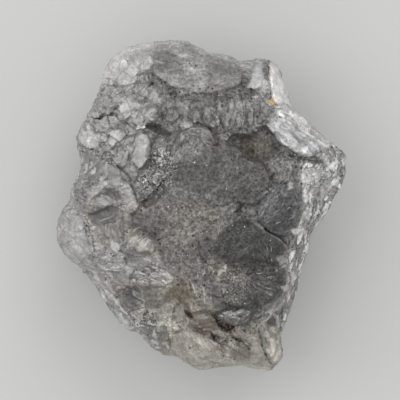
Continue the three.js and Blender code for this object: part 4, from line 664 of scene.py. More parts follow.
# Parallel, ring-shaped and fan-shaped striations: how they run, their direction in degrees or
# centre, spacing, relief, contrast, soft edge and outline.
STREAKS = (
    # Upright bars of the northern slope.
    ("straight", 86, 0.055, 0.014, 0.30, 0.15, (
        (0.3, 1.46), (0.3, 2.2), (0.6, 2.36), (1.1, 2.26), (1.34, 1.94), (1.28, 1.6), (1.06, 1.42),
        (0.6, 1.42))),
    ("straight", 98, 0.055, 0.014, 0.28, 0.15, (
        (-0.72, 1.56), (-0.66, 2.1), (-0.1, 2.1), (0.3, 1.9), (0.2, 1.6), (-0.3, 1.5))),
    ("straight", -14, 0.045, 0.016, 0.34, 0.15, (
        (-0.92, 2.7), (-0.92, 3.08), (-0.5, 3.12), (-0.16, 3.0), (-0.1, 2.8), (-0.6, 2.7))),
    ("straight", 12, 0.060, 0.016, 0.24, 0.20, (
        (-0.9, 2.3), (-0.9, 2.7), (-0.2, 2.76), (0.2, 2.6), (0.1, 2.3))),
    # Bright flank of the north-east.
    ("straight", -34, 0.080, 0.016, 0.28, 0.10, (
        (1.26, 1.6), (1.5, 1.26), (2.1, 0.96), (2.5, 1.0), (2.6, 1.3), (1.9, 1.9), (1.4, 1.9))),
    ("straight", 100, 0.110, 0.010, 0.14, 0.10, (
        (1.36, 2.84), (1.4, 2.1), (1.7, 2.0), (1.9, 2.1), (1.6, 2.8))),
    # East margin.
    ("straight", 66, 0.060, 0.012, 0.30, 0.15, (
        (1.98, 0.8), (2.9, 0.9), (2.5, -0.2), (2.2, -1.0), (1.9, -2.2), (1.5, -2.4), (1.68, -1.8),
        (1.74, -1.2), (1.72, -0.8), (1.96, -0.3))),
    ("straight", 48, 0.060, 0.012, 0.30, 0.15, (
        (2.0, 0.9), (2.5, 1.1), (3.0, 1.3), (3.0, 0.5), (2.6, 0.2), (2.1, 0.2))),
    ("straight", 84, 0.050, 0.016, 0.35, 0.08, (
        (1.3, 0.86), (1.5, 1.02), (1.78, 0.9), (1.84, 0.5), (1.5, 0.42))),
    ("fan", (0.86, -0.74), 0.060, 0.014, 0.42, 0.10, (
        (1.14, 0.1), (1.5, 0.4), (1.94, 0.1), (1.9, -0.4), (1.66, -0.6), (1.14, -0.36))),
    # Growth rings round the tongue's head and over the south-eastern dome.
    ("arcs", (-0.1, 0.75), 0.060, 0.010, 0.30, 0.20, (
        (-0.58, 0.6), (-0.5, 1.3), (-0.2, 1.54), (0.1, 1.5), (0.4, 1.2), (0.2, 0.9), (-0.1, 0.8))),
    ("straight", 60, 0.060, 0.012, 0.34, 0.25, (
        (0.2, 0.2), (0.2, 0.9), (0.7, 1.1), (1.2, 0.8), (1.36, 0.4), (1.0, 0.1))),
    ("arcs", (0.8, -1.0), 0.065, 0.016, 0.40, 0.15, (
        (1.0, -0.6), (1.3, -0.56), (1.66, -0.82), (1.5, -1.2), (1.0, -1.16), (1.1, -0.9))),
    ("fan", (0.3, -1.3), 0.070, 0.012, 0.36, 0.20, (
        (0.1, -0.6), (0.4, -0.32), (1.0, -0.32), (1.2, -0.6), (0.9, -1.1), (0.3, -1.1))),
    ("fan", (0.7, -1.3), 0.060, 0.014, 0.45, 0.15, (
        (0.9, -1.26), (1.4, -1.24), (1.66, -1.6), (1.2, -2.0), (0.9, -1.96))),
    ("straight", 28, 0.060, 0.014, 0.45, 0.10, (
        (0.4, -2.06), (0.9, -2.04), (1.1, -2.1), (0.8, -2.38), (0.5, -2.32))),
    ("straight", 16, 0.070, 0.010, 0.34, 0.20, (
        (-0.2, 0.1), (0.4, 0.16), (0.7, 0.0), (0.5, -0.3), (0.0, -0.3))),
    # Feathers of the south-western flank.
    ("straight", 34, 0.060, 0.022, 0.45, 0.20, (
        (-1.6, -0.6), (-1.3, -0.36), (-0.9, -0.5), (-0.9, -0.9), (-1.3, -1.04), (-1.6, -0.9))),
    ("straight", -24, 0.055, 0.024, 0.55, 0.15, (
        (-1.4, -1.4), (-1.0, -1.14), (-0.5, -1.36), (-0.6, -1.56), (-1.0, -1.66), (-1.4, -1.6))),
    ("straight", -26, 0.060, 0.020, 0.50, 0.15, (
        (-1.66, -1.7), (-1.3, -1.56), (-1.1, -1.7), (-1.1, -2.0), (-1.4, -2.1), (-1.6, -2.0))),
    ("straight", -28, 0.060, 0.016, 0.35, 0.15, (
        (-2.2, 0.0), (-2.0, 0.5), (-1.4, 0.5), (-1.3, 0.1), (-1.7, -0.04))),
    ("fan", (-2.5, 0.3), 0.090, 0.018, 0.25, 0.20, (
        (-2.5, 1.1), (-2.1, 1.06), (-1.6, 0.7), (-1.5, 0.4), (-2.3, 0.1), (-2.5, 0.2))),
    ("straight", 100, 0.050, 0.014, 0.40, 0.10, (
        (-1.98, -0.36), (-1.7, -0.3), (-1.54, -0.24), (-1.52, -0.6), (-1.8, -0.78))),
    ("straight", -60, 0.080, 0.012, 0.20, 0.30, (
        (-2.9, -0.1), (-2.3, -0.2), (-2.1, -0.8), (-2.2, -1.2), (-2.7, -1.1))),
    ("straight", -44, 0.070, 0.018, 0.35, 0.30, (
        (-2.4, -1.2), (-1.9, -1.3), (-1.6, -1.9), (-1.2, -2.5), (-1.8, -2.5), (-2.4, -1.6))),
    ("straight", -76, 0.070, 0.020, 0.40, 0.15, (
        (-0.45, -1.3), (0.1, -1.2), (0.26, -1.6), (0.2, -2.0), (-0.16, -1.96), (-0.3, -1.6))),
    # Shell-shaped rings of the southern lobe.
    ("arcs", (0.78, -2.34), 0.080, 0.014, 0.36, 0.15, (
        (-0.64, -2.76), (-0.4, -2.46), (0.0, -2.5), (0.5, -2.8), (0.9, -3.0), (0.6, -3.2), (-0.4, -3.2),
        (-0.66, -3.0))),
    ("straight", 112, 0.070, 0.022, 0.40, 0.15, (
        (1.14, -2.4), (1.5, -2.1), (1.7, -2.4), (1.6, -3.2), (1.3, -3.2))),
    ("straight", 58, 0.070, 0.018, 0.30, 0.20, (
        (-1.3, -2.4), (-0.7, -2.4), (-0.6, -2.9), (-1.0, -3.0), (-1.4, -2.6))),
)

# Broken, glassy margins in long shards: their direction, length, width, whiteness, soft edge and
# outline.
SHARDS = (
    (66, 0.17, 0.080, 0.35, 0.20, (
        (1.98, 0.8), (2.9, 0.9), (2.6, -0.2), (2.3, -1.0), (2.0, -2.2), (1.5, -2.4), (1.68, -1.8),
        (1.72, -1.2), (1.7, -0.8), (1.94, -0.3))),
    (-36, 0.40, 0.080, 0.35, 0.15, (
        (1.26, 1.6), (1.5, 1.26), (2.1, 0.96), (2.5, 1.0), (3.0, 1.1), (1.9, 2.1), (1.4, 1.9))),
    (80, 0.40, 0.130, 0.40, 0.15, ((1.36, 2.9), (1.4, 2.1), (1.7, 2.0), (2.1, 2.0), (1.6, 3.0))),
    (34, 0.24, 0.075, 0.20, 0.20, (
        (-1.7, -0.7), (-1.5, -0.5), (-0.9, -0.6), (-0.8, -0.96), (-1.3, -1.1), (-1.7, -1.0))),
    (-24, 0.26, 0.060, 0.25, 0.20, (
        (-1.4, -1.4), (-1.0, -1.1), (-0.46, -1.4), (-0.8, -1.66), (-1.4, -1.6))),
    (-30, 0.30, 0.110, 0.10, 0.25, (
        (-2.5, 1.1), (-2.0, 1.0), (-1.6, 0.7), (-1.3, 0.2), (-1.7, -0.04), (-2.5, 0.0))),
    (20, 0.20, 0.140, 0.40, 0.15, (
        (-2.6, 2.44), (-1.64, 2.36), (-1.24, 2.42), (-0.94, 2.7), (-0.92, 3.5), (-2.6, 3.5))),
    (10, 0.10, 0.075, 0.40, 0.15, (
        (-1.4, -2.2), (-1.1, -2.0), (-0.86, -2.1), (-0.84, -2.4), (-1.1, -2.5), (-1.36, -2.44))),
)

# Black, rust-red and ochre grains stuck to the crown: position and radius.
GRAINS = (
    (-0.83, -0.67, 0.034), (-0.80, -0.755, 0.028), (-1.18, -0.09, 0.024), (-2.27, -0.4, 0.024),
    (-2.13, -1.03, 0.024), (-1.74, -1.0, 0.022), (-1.87, -1.15, 0.018), (-1.83, -0.1, 0.018),
    (-2.35, 1.07, 0.022), (1.04, 1.9, 0.022), (2.60, 1.16, 0.026), (2.82, 0.6, 0.018),
    (-0.6, 2.2, 0.03), (-0.52, 2.14, 0.022), (-0.15, 2.36, 0.02), (0.22, 2.3, 0.02),
    (0.38, 1.64, 0.022), (1.55, 1.74, 0.022), (0.8, 0.24, 0.016), (0.1, -1.08, 0.02),
    (-0.14, -1.12, 0.02), (0.7, -0.56, 0.018), (0.84, -0.66, 0.016), (-0.55, -0.58, 0.018),
    (1.28, 0.22, 0.02), (2.28, 0.06, 0.018), (1.27, -2.06, 0.024), (1.33, -2.14, 0.018),
    (0.32, 2.0, 0.018), (0.46, 0.82, 0.016), (-0.56, 0.52, 0.016), (-2.1, 0.56, 0.016),
    (-2.02, 0.5, 0.014), (-2.14, 0.44, 0.016), (-2.06, 0.4, 0.014), (-2.2, 0.38, 0.012),
    (-1.98, 0.62, 0.012), (-2.08, 0.66, 0.014), (-0.42, 2.24, 0.02), (-0.3, 2.18, 0.016),
    (-0.02, 2.3, 0.018), (0.06, 2.2, 0.02), (0.14, 2.34, 0.016), (-0.5, 2.3, 0.014),
    (1.84, -0.02, 0.02), (1.78, -0.16, 0.018), (1.86, 0.14, 0.016), (1.7, -0.3, 0.018),
    (0.56, -0.5, 0.02), (0.62, -0.58, 0.016), (0.78, -0.78, 0.018), (0.46, -0.84, 0.016),
    (0.04, -1.2, 0.018), (0.12, -1.26, 0.016), (0.4, -1.5, 0.016), (0.52, -1.66, 0.018),
    (0.62, -1.46, 0.016), (0.7, -1.74, 0.018), (0.86, -1.6, 0.016), (-0.3, -0.2, 0.016),
    (-0.18, -0.44, 0.018), (-0.36, -0.74, 0.016), (-0.1, -0.86, 0.016), (0.06, -0.5, 0.014),
    (0.16, -0.9, 0.018), (-0.46, -1.0, 0.018), (0.24, -0.36, 0.014), (-0.7, -0.26, 0.016),
    (0.6, 0.9, 0.016), (0.1, 0.7, 0.014), (0.84, 0.6, 0.016), (1.02, 0.44, 0.016),
    (-0.2, 1.06, 0.014), (0.5, -2.02, 0.022), (0.56, -1.98, 0.018), (-1.5, 1.08, 0.016),
    (1.24, 0.5, 0.016), (0.2, 0.46, 0.014), (0.52, 0.34, 0.014),
    # Soot in the southern cracks.
    (0.27, -2.16, 0.020), (0.32, -2.20, 0.022), (0.38, -2.25, 0.024), (0.43, -2.30, 0.026),
    (0.49, -2.35, 0.028), (0.40, -2.38, 0.024), (0.46, -2.42, 0.022), (0.54, -2.39, 0.024),
    (0.22, -2.56, 0.026), (0.26, -2.61, 0.024), (0.48, -2.67, 0.024), (0.51, -2.71, 0.020),
    (0.63, -2.61, 0.026), (0.69, -2.65, 0.028), (0.75, -2.69, 0.024), (0.60, -2.67, 0.020),
    (-0.28, -2.13, 0.024), (-0.22, -2.17, 0.022), (0.66, -2.00, 0.024), (0.71, -2.03, 0.020),
    (0.49, -1.93, 0.024), (0.55, -1.90, 0.020), (0.95, -2.36, 0.018), (1.02, -2.42, 0.018),
)
RUST_GRAINS = (
    (-0.5, 2.22, 0.022), (-0.34, 2.26, 0.018), (-0.1, 2.22, 0.020), (0.1, 2.26, 0.022),
    (0.2, 2.18, 0.016), (0.50, -2.46, 0.038), (0.58, -2.5, 0.034), (0.66, -2.46, 0.024),
    (0.24, -2.58, 0.02), (0.74, -2.64, 0.02), (-0.22, -2.14, 0.02), (0.32, 1.21, 0.036),
    (0.3, 1.17, 0.026), (0.35, 1.19, 0.024), (1.39, 0.58, 0.03), (1.4, 0.54, 0.022),
    (-0.26, -2.08, 0.02),
)
OCHRE_GRAINS = ((1.375, 2.05, 0.050), (1.43, 2.02, 0.042), (1.40, 2.09, 0.034))


# ---- Small tools ----


def linear(text):
    """An sRGB hex colour as a linear RGBA tuple."""
    channels = [int(text[i : i + 2], 16) / 255 for i in (1, 3, 5)]
    curve = [c / 12.92 if c <= 0.04045 else ((c + 0.055) / 1.055) ** 2.4 for c in channels]
    return (*curve, 1.0)


def smooth_step(low, high, value):
    t = np.clip((value - low) / (high - low), 0, 1)
    return t * t * (3 - 2 * t)


def distance_to_line(points, line):
    """Each plan point's distance to an open line, and which side of it the point is on (1, -1)."""
    best, side = np.full(len(points), 1e9), np.ones(len(points))
    for a, b in zip(line, line[1:]):
        a, b = np.array(a), np.array(b)
        away = points - a
        along = np.clip(away @ (b - a) / max((b - a) @ (b - a), 1e-12), 0, 1)
        distance = np.linalg.norm(away - along[:, None] * (b - a), axis=1)
        left = (b - a)[0] * away[:, 1] > (b - a)[1] * away[:, 0]
        side = np.where(distance < best, np.where(left, 1, -1), side)
        best = np.minimum(best, distance)
    return best, side


def inside(points, outline):
    x, y = points[:, 0], points[:, 1]
    result = np.zeros(len(points), bool)
    for (ax, ay), (bx, by) in zip(outline, outline[1:] + outline[:1]):
        if ay == by:
            continue
        crosses = (ay > y) != (by > y)
        result ^= crosses & (x < (bx - ax) * (y - ay) / (by - ay) + ax)
    return result


def field_weight(points, outline, edge):
    """1 inside an outline, 0 outside, and soft over the width of its edge."""
    distance, _ = distance_to_line(points, outline + outline[:1])
    signed = np.where(inside(points, outline), distance, -distance)
    return smooth_step(-edge / 2, edge / 2, signed)


def only(obj):
    """Selects one object and makes it active."""
    bpy.ops.object.select_all(action="DESELECT")
    obj.select_set(True)
    bpy.context.view_layer.objects.active = obj


def apply_modifier(obj, name, kind, **settings):
    modifier = obj.modifiers.new(name, kind)
    for key, value in settings.items():
        setattr(modifier, key, value)
    only(obj)
    bpy.ops.object.modifier_apply(modifier=name)


def store(mesh, name, *columns):
    """Keeps one or three numbers for every vertex under one name."""
    kind, part = ("FLOAT", "value") if len(columns) == 1 else ("FLOAT_VECTOR", "vector")
    layer = mesh.attributes.new(name, kind, "POINT")
    layer.data.foreach_set(part, np.column_stack(columns).astype(np.float32).ravel())


def add_node(tree, kind, *inputs, output=0, **settings):
    """Adds a shader node, sets its properties, and fills or links its inputs, given in order or in
    a dict. Gives one of its outputs."""
    made = tree.nodes.new("ShaderNode" + kind)
    for key, value in settings.items():
        setattr(made, key, value)
    given = inputs[0] if inputs and isinstance(inputs[0], dict) else dict(enumerate(inputs))
    for key, value in given.items():
        if isinstance(value, bpy.types.NodeSocket):
            tree.links.new(value, made.inputs[key])
        else:
            made.inputs[key].default_value = value
    return made.outputs[output] if made.outputs else None


# ---- The settings a user may change ----


class DiamondSettings(bpy.types.PropertyGroup):
    """Sizes and colours of the crystal's surface"""

    # Also mixed in for the painted highlights on ridges, rims, growth steps and shard faces.
    frost: FloatVectorProperty(
        name="White flakes", description="Colour of fresh breaks and flakes", subtype="COLOR",
        size=4, min=0, max=1, default=linear("#f1f1ee"))
    rust: FloatVectorProperty(
        name="Iron stain", description="Colour of the stains in the cracks", subtype="COLOR",
        size=4, min=0, max=1, default=linear("#5a3a27"))
    # Also mixed in for the painted shade in the grooves and the painted ledge shadows.
    soot_and_shade: FloatVectorProperty(
        name="Black grains", description="Colour of the grains stuck to it", subtype="COLOR",
        size=4, min=0, max=1, default=linear("#100f0f"))
    relief: FloatProperty(
        name="Frost relief", description="Height of the etched relief", unit="LENGTH",
        min=0, max=0.0001, default=0.009 * MM)
    swell: FloatProperty(
        name="Swell", description="Height of the broad unevenness", unit="LENGTH",
        min=0, max=0.0003, default=0.022 * MM)


class StageSettings(bpy.types.PropertyGroup):
    """Floor, light and camera"""

    floor: FloatVectorProperty(
        name="Floor", description="Colour of the floor", subtype="COLOR", size=4, min=0, max=1,
        default=linear("#bbbbba"))
    key: FloatProperty(
        name="Key light", description="Power of the large light", unit="POWER", min=0,
        default=0.030)
    rim: FloatProperty(
        name="Rim light", description="Power of the light behind", unit="POWER", min=0,
        default=0.036)
    fill: FloatProperty(
        name="Fill light", description="Power of the light that softens shadows", unit="POWER",
        min=0, default=0.008)
    sky: FloatProperty(
        name="Surroundings", description="Strength of the light from all round", min=0,
        default=0.92)
    camera_distance: FloatProperty(
        name="Camera distance", description="From the crystal's girdle", unit="LENGTH",
        min=0.01, default=88.9 * MM)
    lens: FloatProperty(name="Lens", description="Focal length in mm", min=50, default=400)


# ---- The crystal ----


def crystal_mesh(source):
    """A merged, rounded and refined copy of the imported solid."""
    mesh = source.data.copy()
    crystal = bpy.data.objects.new("crystal", mesh)
    bpy.context.scene.collection.objects.link(crystal)
    only(crystal)
    bpy.ops.object.mode_set(mode="EDIT")
    bpy.ops.mesh.select_mode(type="EDGE")
    bpy.ops.mesh.select_all(action="SELECT")
    bpy.ops.mesh.remove_doubles(threshold=1e-7)
    bpy.ops.mesh.select_all(action="DESELECT")
    bpy.ops.mesh.edges_select_sharp(sharpness=math.radians(CREASE_ANGLE))
    bpy.ops.transform.edge_crease(value=CREASE)
    bpy.ops.object.mode_set(mode="OBJECT")
    if mesh.has_custom_normals:
        bpy.ops.mesh.customdata_custom_splitnormals_clear()
    apply_modifier(crystal, "Rounding", "SUBSURF", levels=1, render_levels=1)
    refine_crown(crystal)
    return crystal


def refine_crown(crystal):
    """Divides the faces of the crown once more."""
    only(crystal)
    bpy.ops.object.mode_set(mode="EDIT")
    bpy.ops.mesh.select_mode(type="FACE")
    bpy.ops.mesh.select_all(action="DESELECT")
    shape = bmesh.from_edit_mesh(crystal.data)
    for face in shape.faces:
        face.select_set(face.calc_center_median().z > CROWN_FROM * MM)
    bmesh.update_edit_mesh(crystal.data)
    bpy.ops.mesh.subdivide(number_cuts=1)
    bpy.ops.object.mode_set(mode="OBJECT")


def vertex_arrays(mesh):
    """Positions in millimetres and unit normals."""
    count = len(mesh.vertices)
    places = np.empty(count * 3)
    normals = np.empty(count * 3)
    mesh.vertices.foreach_get("co", places)
    mesh.vertices.foreach_get("normal", normals)
    return places.reshape(-1, 3) / MM, normals.reshape(-1, 3)


def edge_ends(mesh):
    """The two vertices of every edge."""
    edges = np.empty(len(mesh.edges) * 2, int)
    mesh.edges.foreach_get("vertices", edges)
    return edges.reshape(-1, 2).T


def noise_over(places, size, seed, octaves=3):
    """Smooth noise of about -1 to 1 with bumps of the given size, or one size for each axis."""
    result = np.zeros(len(places))
    for octave in range(octaves):
        table = np.random.default_rng(seed + octave).uniform(-1, 1, (PERIOD,) * 3)
        scaled = places / np.array(size) * 2**octave
        base = np.floor(scaled).astype(int)
        part = scaled - base
        part = part * part * (3 - 2 * part)
        for corner in itertools.product((0, 1), repeat=3):
            share = np.prod(np.where(corner, part, 1 - part), axis=1)
            result += FALLOFF**octave * share * table[tuple(((base + corner) % PERIOD).T)]
    return result


def facets_over(places, size, seed):
    """Splits space into cells of the given size, each with a flat facet tilted its own way by about
    45 degrees. Gives the facets' height, the distance from the cell's border, and a number of -1 to
    1 that the cell shares."""
    table = np.random.default_rng(seed).uniform(-1, 1, (PERIOD, PERIOD, PERIOD, 6))
    scaled = places / np.array(size)
    base = np.floor(scaled).astype(int)
    nearest, second = np.full(len(places), FAR), np.full(len(places), FAR)
    offset, shared = np.zeros((len(places), 3)), np.zeros((len(places), 3))
    for step in itertools.product((-1, 0, 1), repeat=3):
        entry = table[tuple(((base + step) % PERIOD).T)]
        away = scaled - (base + step + 0.5 + 0.45 * entry[:, :3])
        distance = np.linalg.norm(away, axis=1)
        closer = distance < nearest
        second = np.where(closer, nearest, np.minimum(second, distance))
        nearest = np.where(closer, distance, nearest)
        offset[closer] = away[closer]
        shared[closer] = entry[closer, 3:]
    height = np.einsum("ij,ij->i", offset * np.array(size), shared)
    return height, (second - nearest) * np.mean(size), shared[:, 0]


def turned(plan, degrees):
    """Each place along and across a direction."""
    turn = math.radians(degrees)
    along = plan @ np.array((math.cos(turn), math.sin(turn)))
    return along, plan @ np.array((-math.sin(turn), math.cos(turn)))


def flow_over(plan, pattern, where, outline):
    """Each point's place along and across straight lines, rings or a fan."""
    if pattern == "straight":
        return turned(plan, where)
    away = plan - np.array(where)
    radius = np.linalg.norm(away, axis=1)
    typical = np.mean(np.linalg.norm(np.array(outline) - np.array(where), axis=1))
    round_it = np.arctan2(away[:, 1], away[:, 0]) * typical
    return (round_it, radius) if pattern == "arcs" else (radius, round_it)


def convexity(mesh, places, normals):
    """Positive on ridges and negative in grooves, averaged over each vertex's neighbours."""
    a, b = edge_ends(mesh)
    step = places[b] - places[a]
    step /= np.maximum(np.linalg.norm(step, axis=1), 1e-9)[:, None]
    total = np.zeros(len(places))
    share = np.zeros(len(places))
    np.add.at(total, a, -np.einsum("ij,ij->i", step, normals[a]))
    np.add.at(total, b, np.einsum("ij,ij->i", step, normals[b]))
    np.add.at(share, a, 1)
    np.add.at(share, b, 1)
    bend = total / np.maximum(share, 1)
    for _ in range(2):
        spread = np.zeros(len(places))
        np.add.at(spread, a, bend[b])
        np.add.at(spread, b, bend[a])
        bend = 0.5 * bend + 0.5 * spread / np.maximum(share, 1)
    return bend


def relax(mesh, places, weight, times):
    """Moves each vertex towards the middle of its neighbours by its weight, several times."""
    a, b = edge_ends(mesh)
    count = len(places)
    share = np.bincount(a, minlength=count) + np.bincount(b, minlength=count)
    for _ in range(times):
        total = np.column_stack([
            np.bincount(a, places[b, axis], count) + np.bincount(b, places[a, axis], count)
            for axis in range(3)])
        places += weight[:, None] * (total / share[:, None] - places)


def fields_over(places, plan, crown):
    """Each vertex's grey tone, clearness and finish: unevenly worn, then as the fields say, and
    lighter and clearer again at the crown's thin low margins."""
    tone = 160 + 26 * noise_over(places, 0.6, 1)
    clear = np.clip(0.55 + 0.35 * noise_over(places, 1.1, 2), 0.15, 0.85)
    finish = np.tile(FINISHES["worn"], (len(places), 1))
    for field_tone, field_clear, edge, field_finish, outline in FIELDS:
        weight = field_weight(plan, outline, edge) * crown
        finish += (np.array(FINISHES[field_finish]) - finish) * weight[:, None]
        tone += (field_tone - tone) * weight
        clear += (field_clear - clear) * weight
    thin = 0.6 * crown * smooth_step(2.75, 2.1, places[:, 2])
    tone += (THIN_TONE - tone) * thin * (tone < THIN_TONE)
    clear += (THIN_CLEAR - clear) * thin * (clear < THIN_CLEAR)
    return tone, clear, finish


def lines_over(plan, table):
    """Each vertex's signed distance, in half widths, to the nearest line of a table, that line's
    strength, and the distance in millimetres."""
    nearest, signed = np.full(len(plan), FAR), np.full(len(plan), FAR)
    strength = np.zeros(len(plan))
    for half_width, strong, line in table:
        away, side = distance_to_line(plan, line)
        strength = np.where(away < nearest, strong, strength)
        signed = np.where(away < nearest, side * away / half_width, signed)
        nearest = np.minimum(nearest, away)
    return signed, strength, nearest


def finish_surface(crystal, settings):
    """Moves the vertices into the fine relief and stores what the material reads."""
    mesh = crystal.data
    places, normals = vertex_arrays(mesh)
    plan = places[:, :2]  # moves along when the ledges are softened
    # The crown's looks reach a little below the girdle, here more and there less.
    below = np.clip(1.1 * noise_over(places, 0.7, 8, 2), 0, 1)
    high = smooth_step(0.9, 1.3, places[:, 2])
    crown = smooth_step(-0.1, 0.2, normals[:, 2] + below) * high
    upper = smooth_step(-0.35, -0.05, normals[:, 2]) * high
    softened = np.zeros(len(places))
    for edge, outline in SOFTENED:
        softened = np.maximum(softened, field_weight(plan, outline, edge) * crown)
    relax(mesh, places, 0.8 * softened, 60)
    bend = convexity(mesh, places, normals) * (1 - softened)
    relax(mesh, places, 0.6 * smooth_step(0.06, 0.25, -bend), 6)

    wander = np.column_stack([noise_over(places, 0.13, seed, 2) for seed in (5, 6)])
    bent = plan + 0.022 * wander
    tone, clear, finish = fields_over(places, bent, crown)
    frost = 1 - clear
    broken = np.clip(0.6 + 0.8 * noise_over(places, 0.10, 3, 2), 0.15, 1.1)
    warm = -0.40 + 0.22 * smooth_step(175, 115, tone)
    for warmth, edge, outline in TINTS:
        warm += (warmth - warm) * field_weight(bent, outline, edge) * crown
    rust = np.zeros(len(places))
    for strength, edge, outline in STAINS:
        rust = np.maximum(rust, strength * field_weight(bent, outline, edge) * crown)
    for name, table, bend_by in (("cracks_and_shadows", CRACKS_AND_SHADOWS, 0.016), ("fissures_and_highlights", FISSURES_AND_HIGHLIGHTS, 0.008)):
        signed, strength, gap = lines_over(plan + bend_by * wander, table)
        # Seen as farther off below the girdle, where the lines are not drawn.
        store(mesh, name, signed, strength, gap + 0.08 * (1 - upper))

    pebbled, celled = (field_weight(bent, outline, edge) * crown
                       for edge, outline in (PEBBLES, CELLS))
    blocks, block_border, block_shade = facets_over(places, (0.26, 0.22, 0.26), 11)
    chips = facets_over(places, (0.13, 0.12, 0.13), 12)[0]
    crumbs = facets_over(places, 0.062, 13)[0]
    shards, shard_border, shard_shade = facets_over(places, 0.17, 14)
    glassy = smooth_step(0.3, 0.6, clear)
    white_and_highlights = 0.20 * glassy
    for direction, length, width, whiteness, edge, outline in SHARDS:
        weight = field_weight(bent, outline, edge) * crown
        touched = weight > 0.5
        ways = turned(bent[touched], direction)
        shards[touched], shard_border[touched], shard_shade[touched] = facets_over(
            np.column_stack((*ways, places[touched, 2])), (length, width, 4 * width), 15)
        white_and_highlights = np.maximum(white_and_highlights, whiteness * weight)
        glassy = np.maximum(glassy, 0.8 * weight)

    # The relief in millimetres: the broad unevenness, the etch and the broken faces.
    height = settings.swell / MM * noise_over(places, 0.5, 14, 2)
    height += settings.relief / MM * noise_over(places, 0.085, 15, 2) * (0.3 + frost)
    height += blocks * (0.06 + 0.26 * celled)
    height += chips * (0.10 + 0.10 * frost)
    height += shards * (0.04 + 0.10 * smooth_step(0.1, 0.5, normals[:, 2])) * glassy
    height += crumbs * (0.03 + 0.05 * frost + 0.35 * pebbled)
    height -= 0.020 * celled * smooth_step(0.05, 0.0, block_border)
    shade = 1 + (0.04 + 0.10 * celled) * block_shade + 0.15 * glassy * shard_shade
    # Striations, faint everywhere and strong in their fields.
    along, across = turned(bent + places[:, 2:] * (0.3, 0.8), 24)
    flow = 0.18 + 0.30 * (1 - crown)
    for index, (pattern, where, spacing, rise, contrast, edge, outline) in enumerate(STREAKS):
        weight = field_weight(bent, outline, edge) * crown
        touched = weight > 0
        ways = flow_over(bent[touched], pattern, where, outline)
        drawn_out = np.column_stack((ways[0] / 6, ways[1], 0 * ways[0])) / spacing
        waves = noise_over(drawn_out, 1.0, 20 + index, 2)
        height[touched] += rise * weight[touched] * waves
        shade[touched] *= 1 + 0.5 * contrast * weight[touched] * waves
        ruled = weight > 0.5
        along[ruled], across[ruled] = ways[0][ruled[touched]], ways[1][ruled[touched]]
        flow[touched] = np.maximum(flow[touched], 1.4 * contrast * weight[touched])
    for spacing, rise, reach, line in RIPPLES:
        away, _ = distance_to_line(bent, line)
        fade = smooth_step(reach, 0.3 * reach, away) * crown
        height += rise * fade * np.sin(2 * math.pi * away / spacing)
    # The face it stands on stays flat.
    places += normals * (height * smooth_step(0.02, 0.12, places[:, 2]))[:, None]
    mesh.vertices.foreach_set("co", (places * MM).ravel())
    mesh.update()

    # Dark gaps between the blocks, painted shade in the grooves, and painted highlights on ridges and on
    # the shards' flashing faces.
    dark_joints_and_shade = 0.55 * celled * smooth_step(0.035, 0.0, block_border) * (0.4 + 0.6 * broken)
    dark_joints_and_shade = np.maximum(dark_joints_and_shade, 0.10 * broken * smooth_step(0.12, 0.5, -bend))
    bright = 0.25 * broken * smooth_step(0.15, 0.5, bend)
    flash = smooth_step(0.35, 0.9, shard_shade) * smooth_step(0.0, 0.01, shard_border)
    bright = np.maximum(bright, 0.6 * white_and_highlights * (0.5 + 0.5 * broken) * flash)
    finish[:, 2] = np.maximum(finish[:, 2], pebbled)
    finish[:, 5] = np.maximum(finish[:, 5], 1.6 * pebbled)
    # An sRGB tone as linear reflectance, lighter where light passes and without the gloss.
    lifted = (tone / 255) ** 2.2 * np.clip(shade, 0.3, 2.0) * (1 + 0.75 * clear) - GLOSS
    for name, values in (
            ("tone", np.clip(lifted, 0.02, 0.95)), ("clear", clear), ("warm", warm),
            ("rust", rust), ("dark_joints_and_shade", np.clip(dark_joints_and_shade, 0, 1)), ("bright", np.clip(bright, 0, 1))):
        store(mesh, name, values)
    store(mesh, "ways", along, across, np.clip(flow, 0, 1))
    store(mesh, "mosaic", *finish[:, :3].T)
    store(mesh, "flecks", *finish[:, 3:].T)


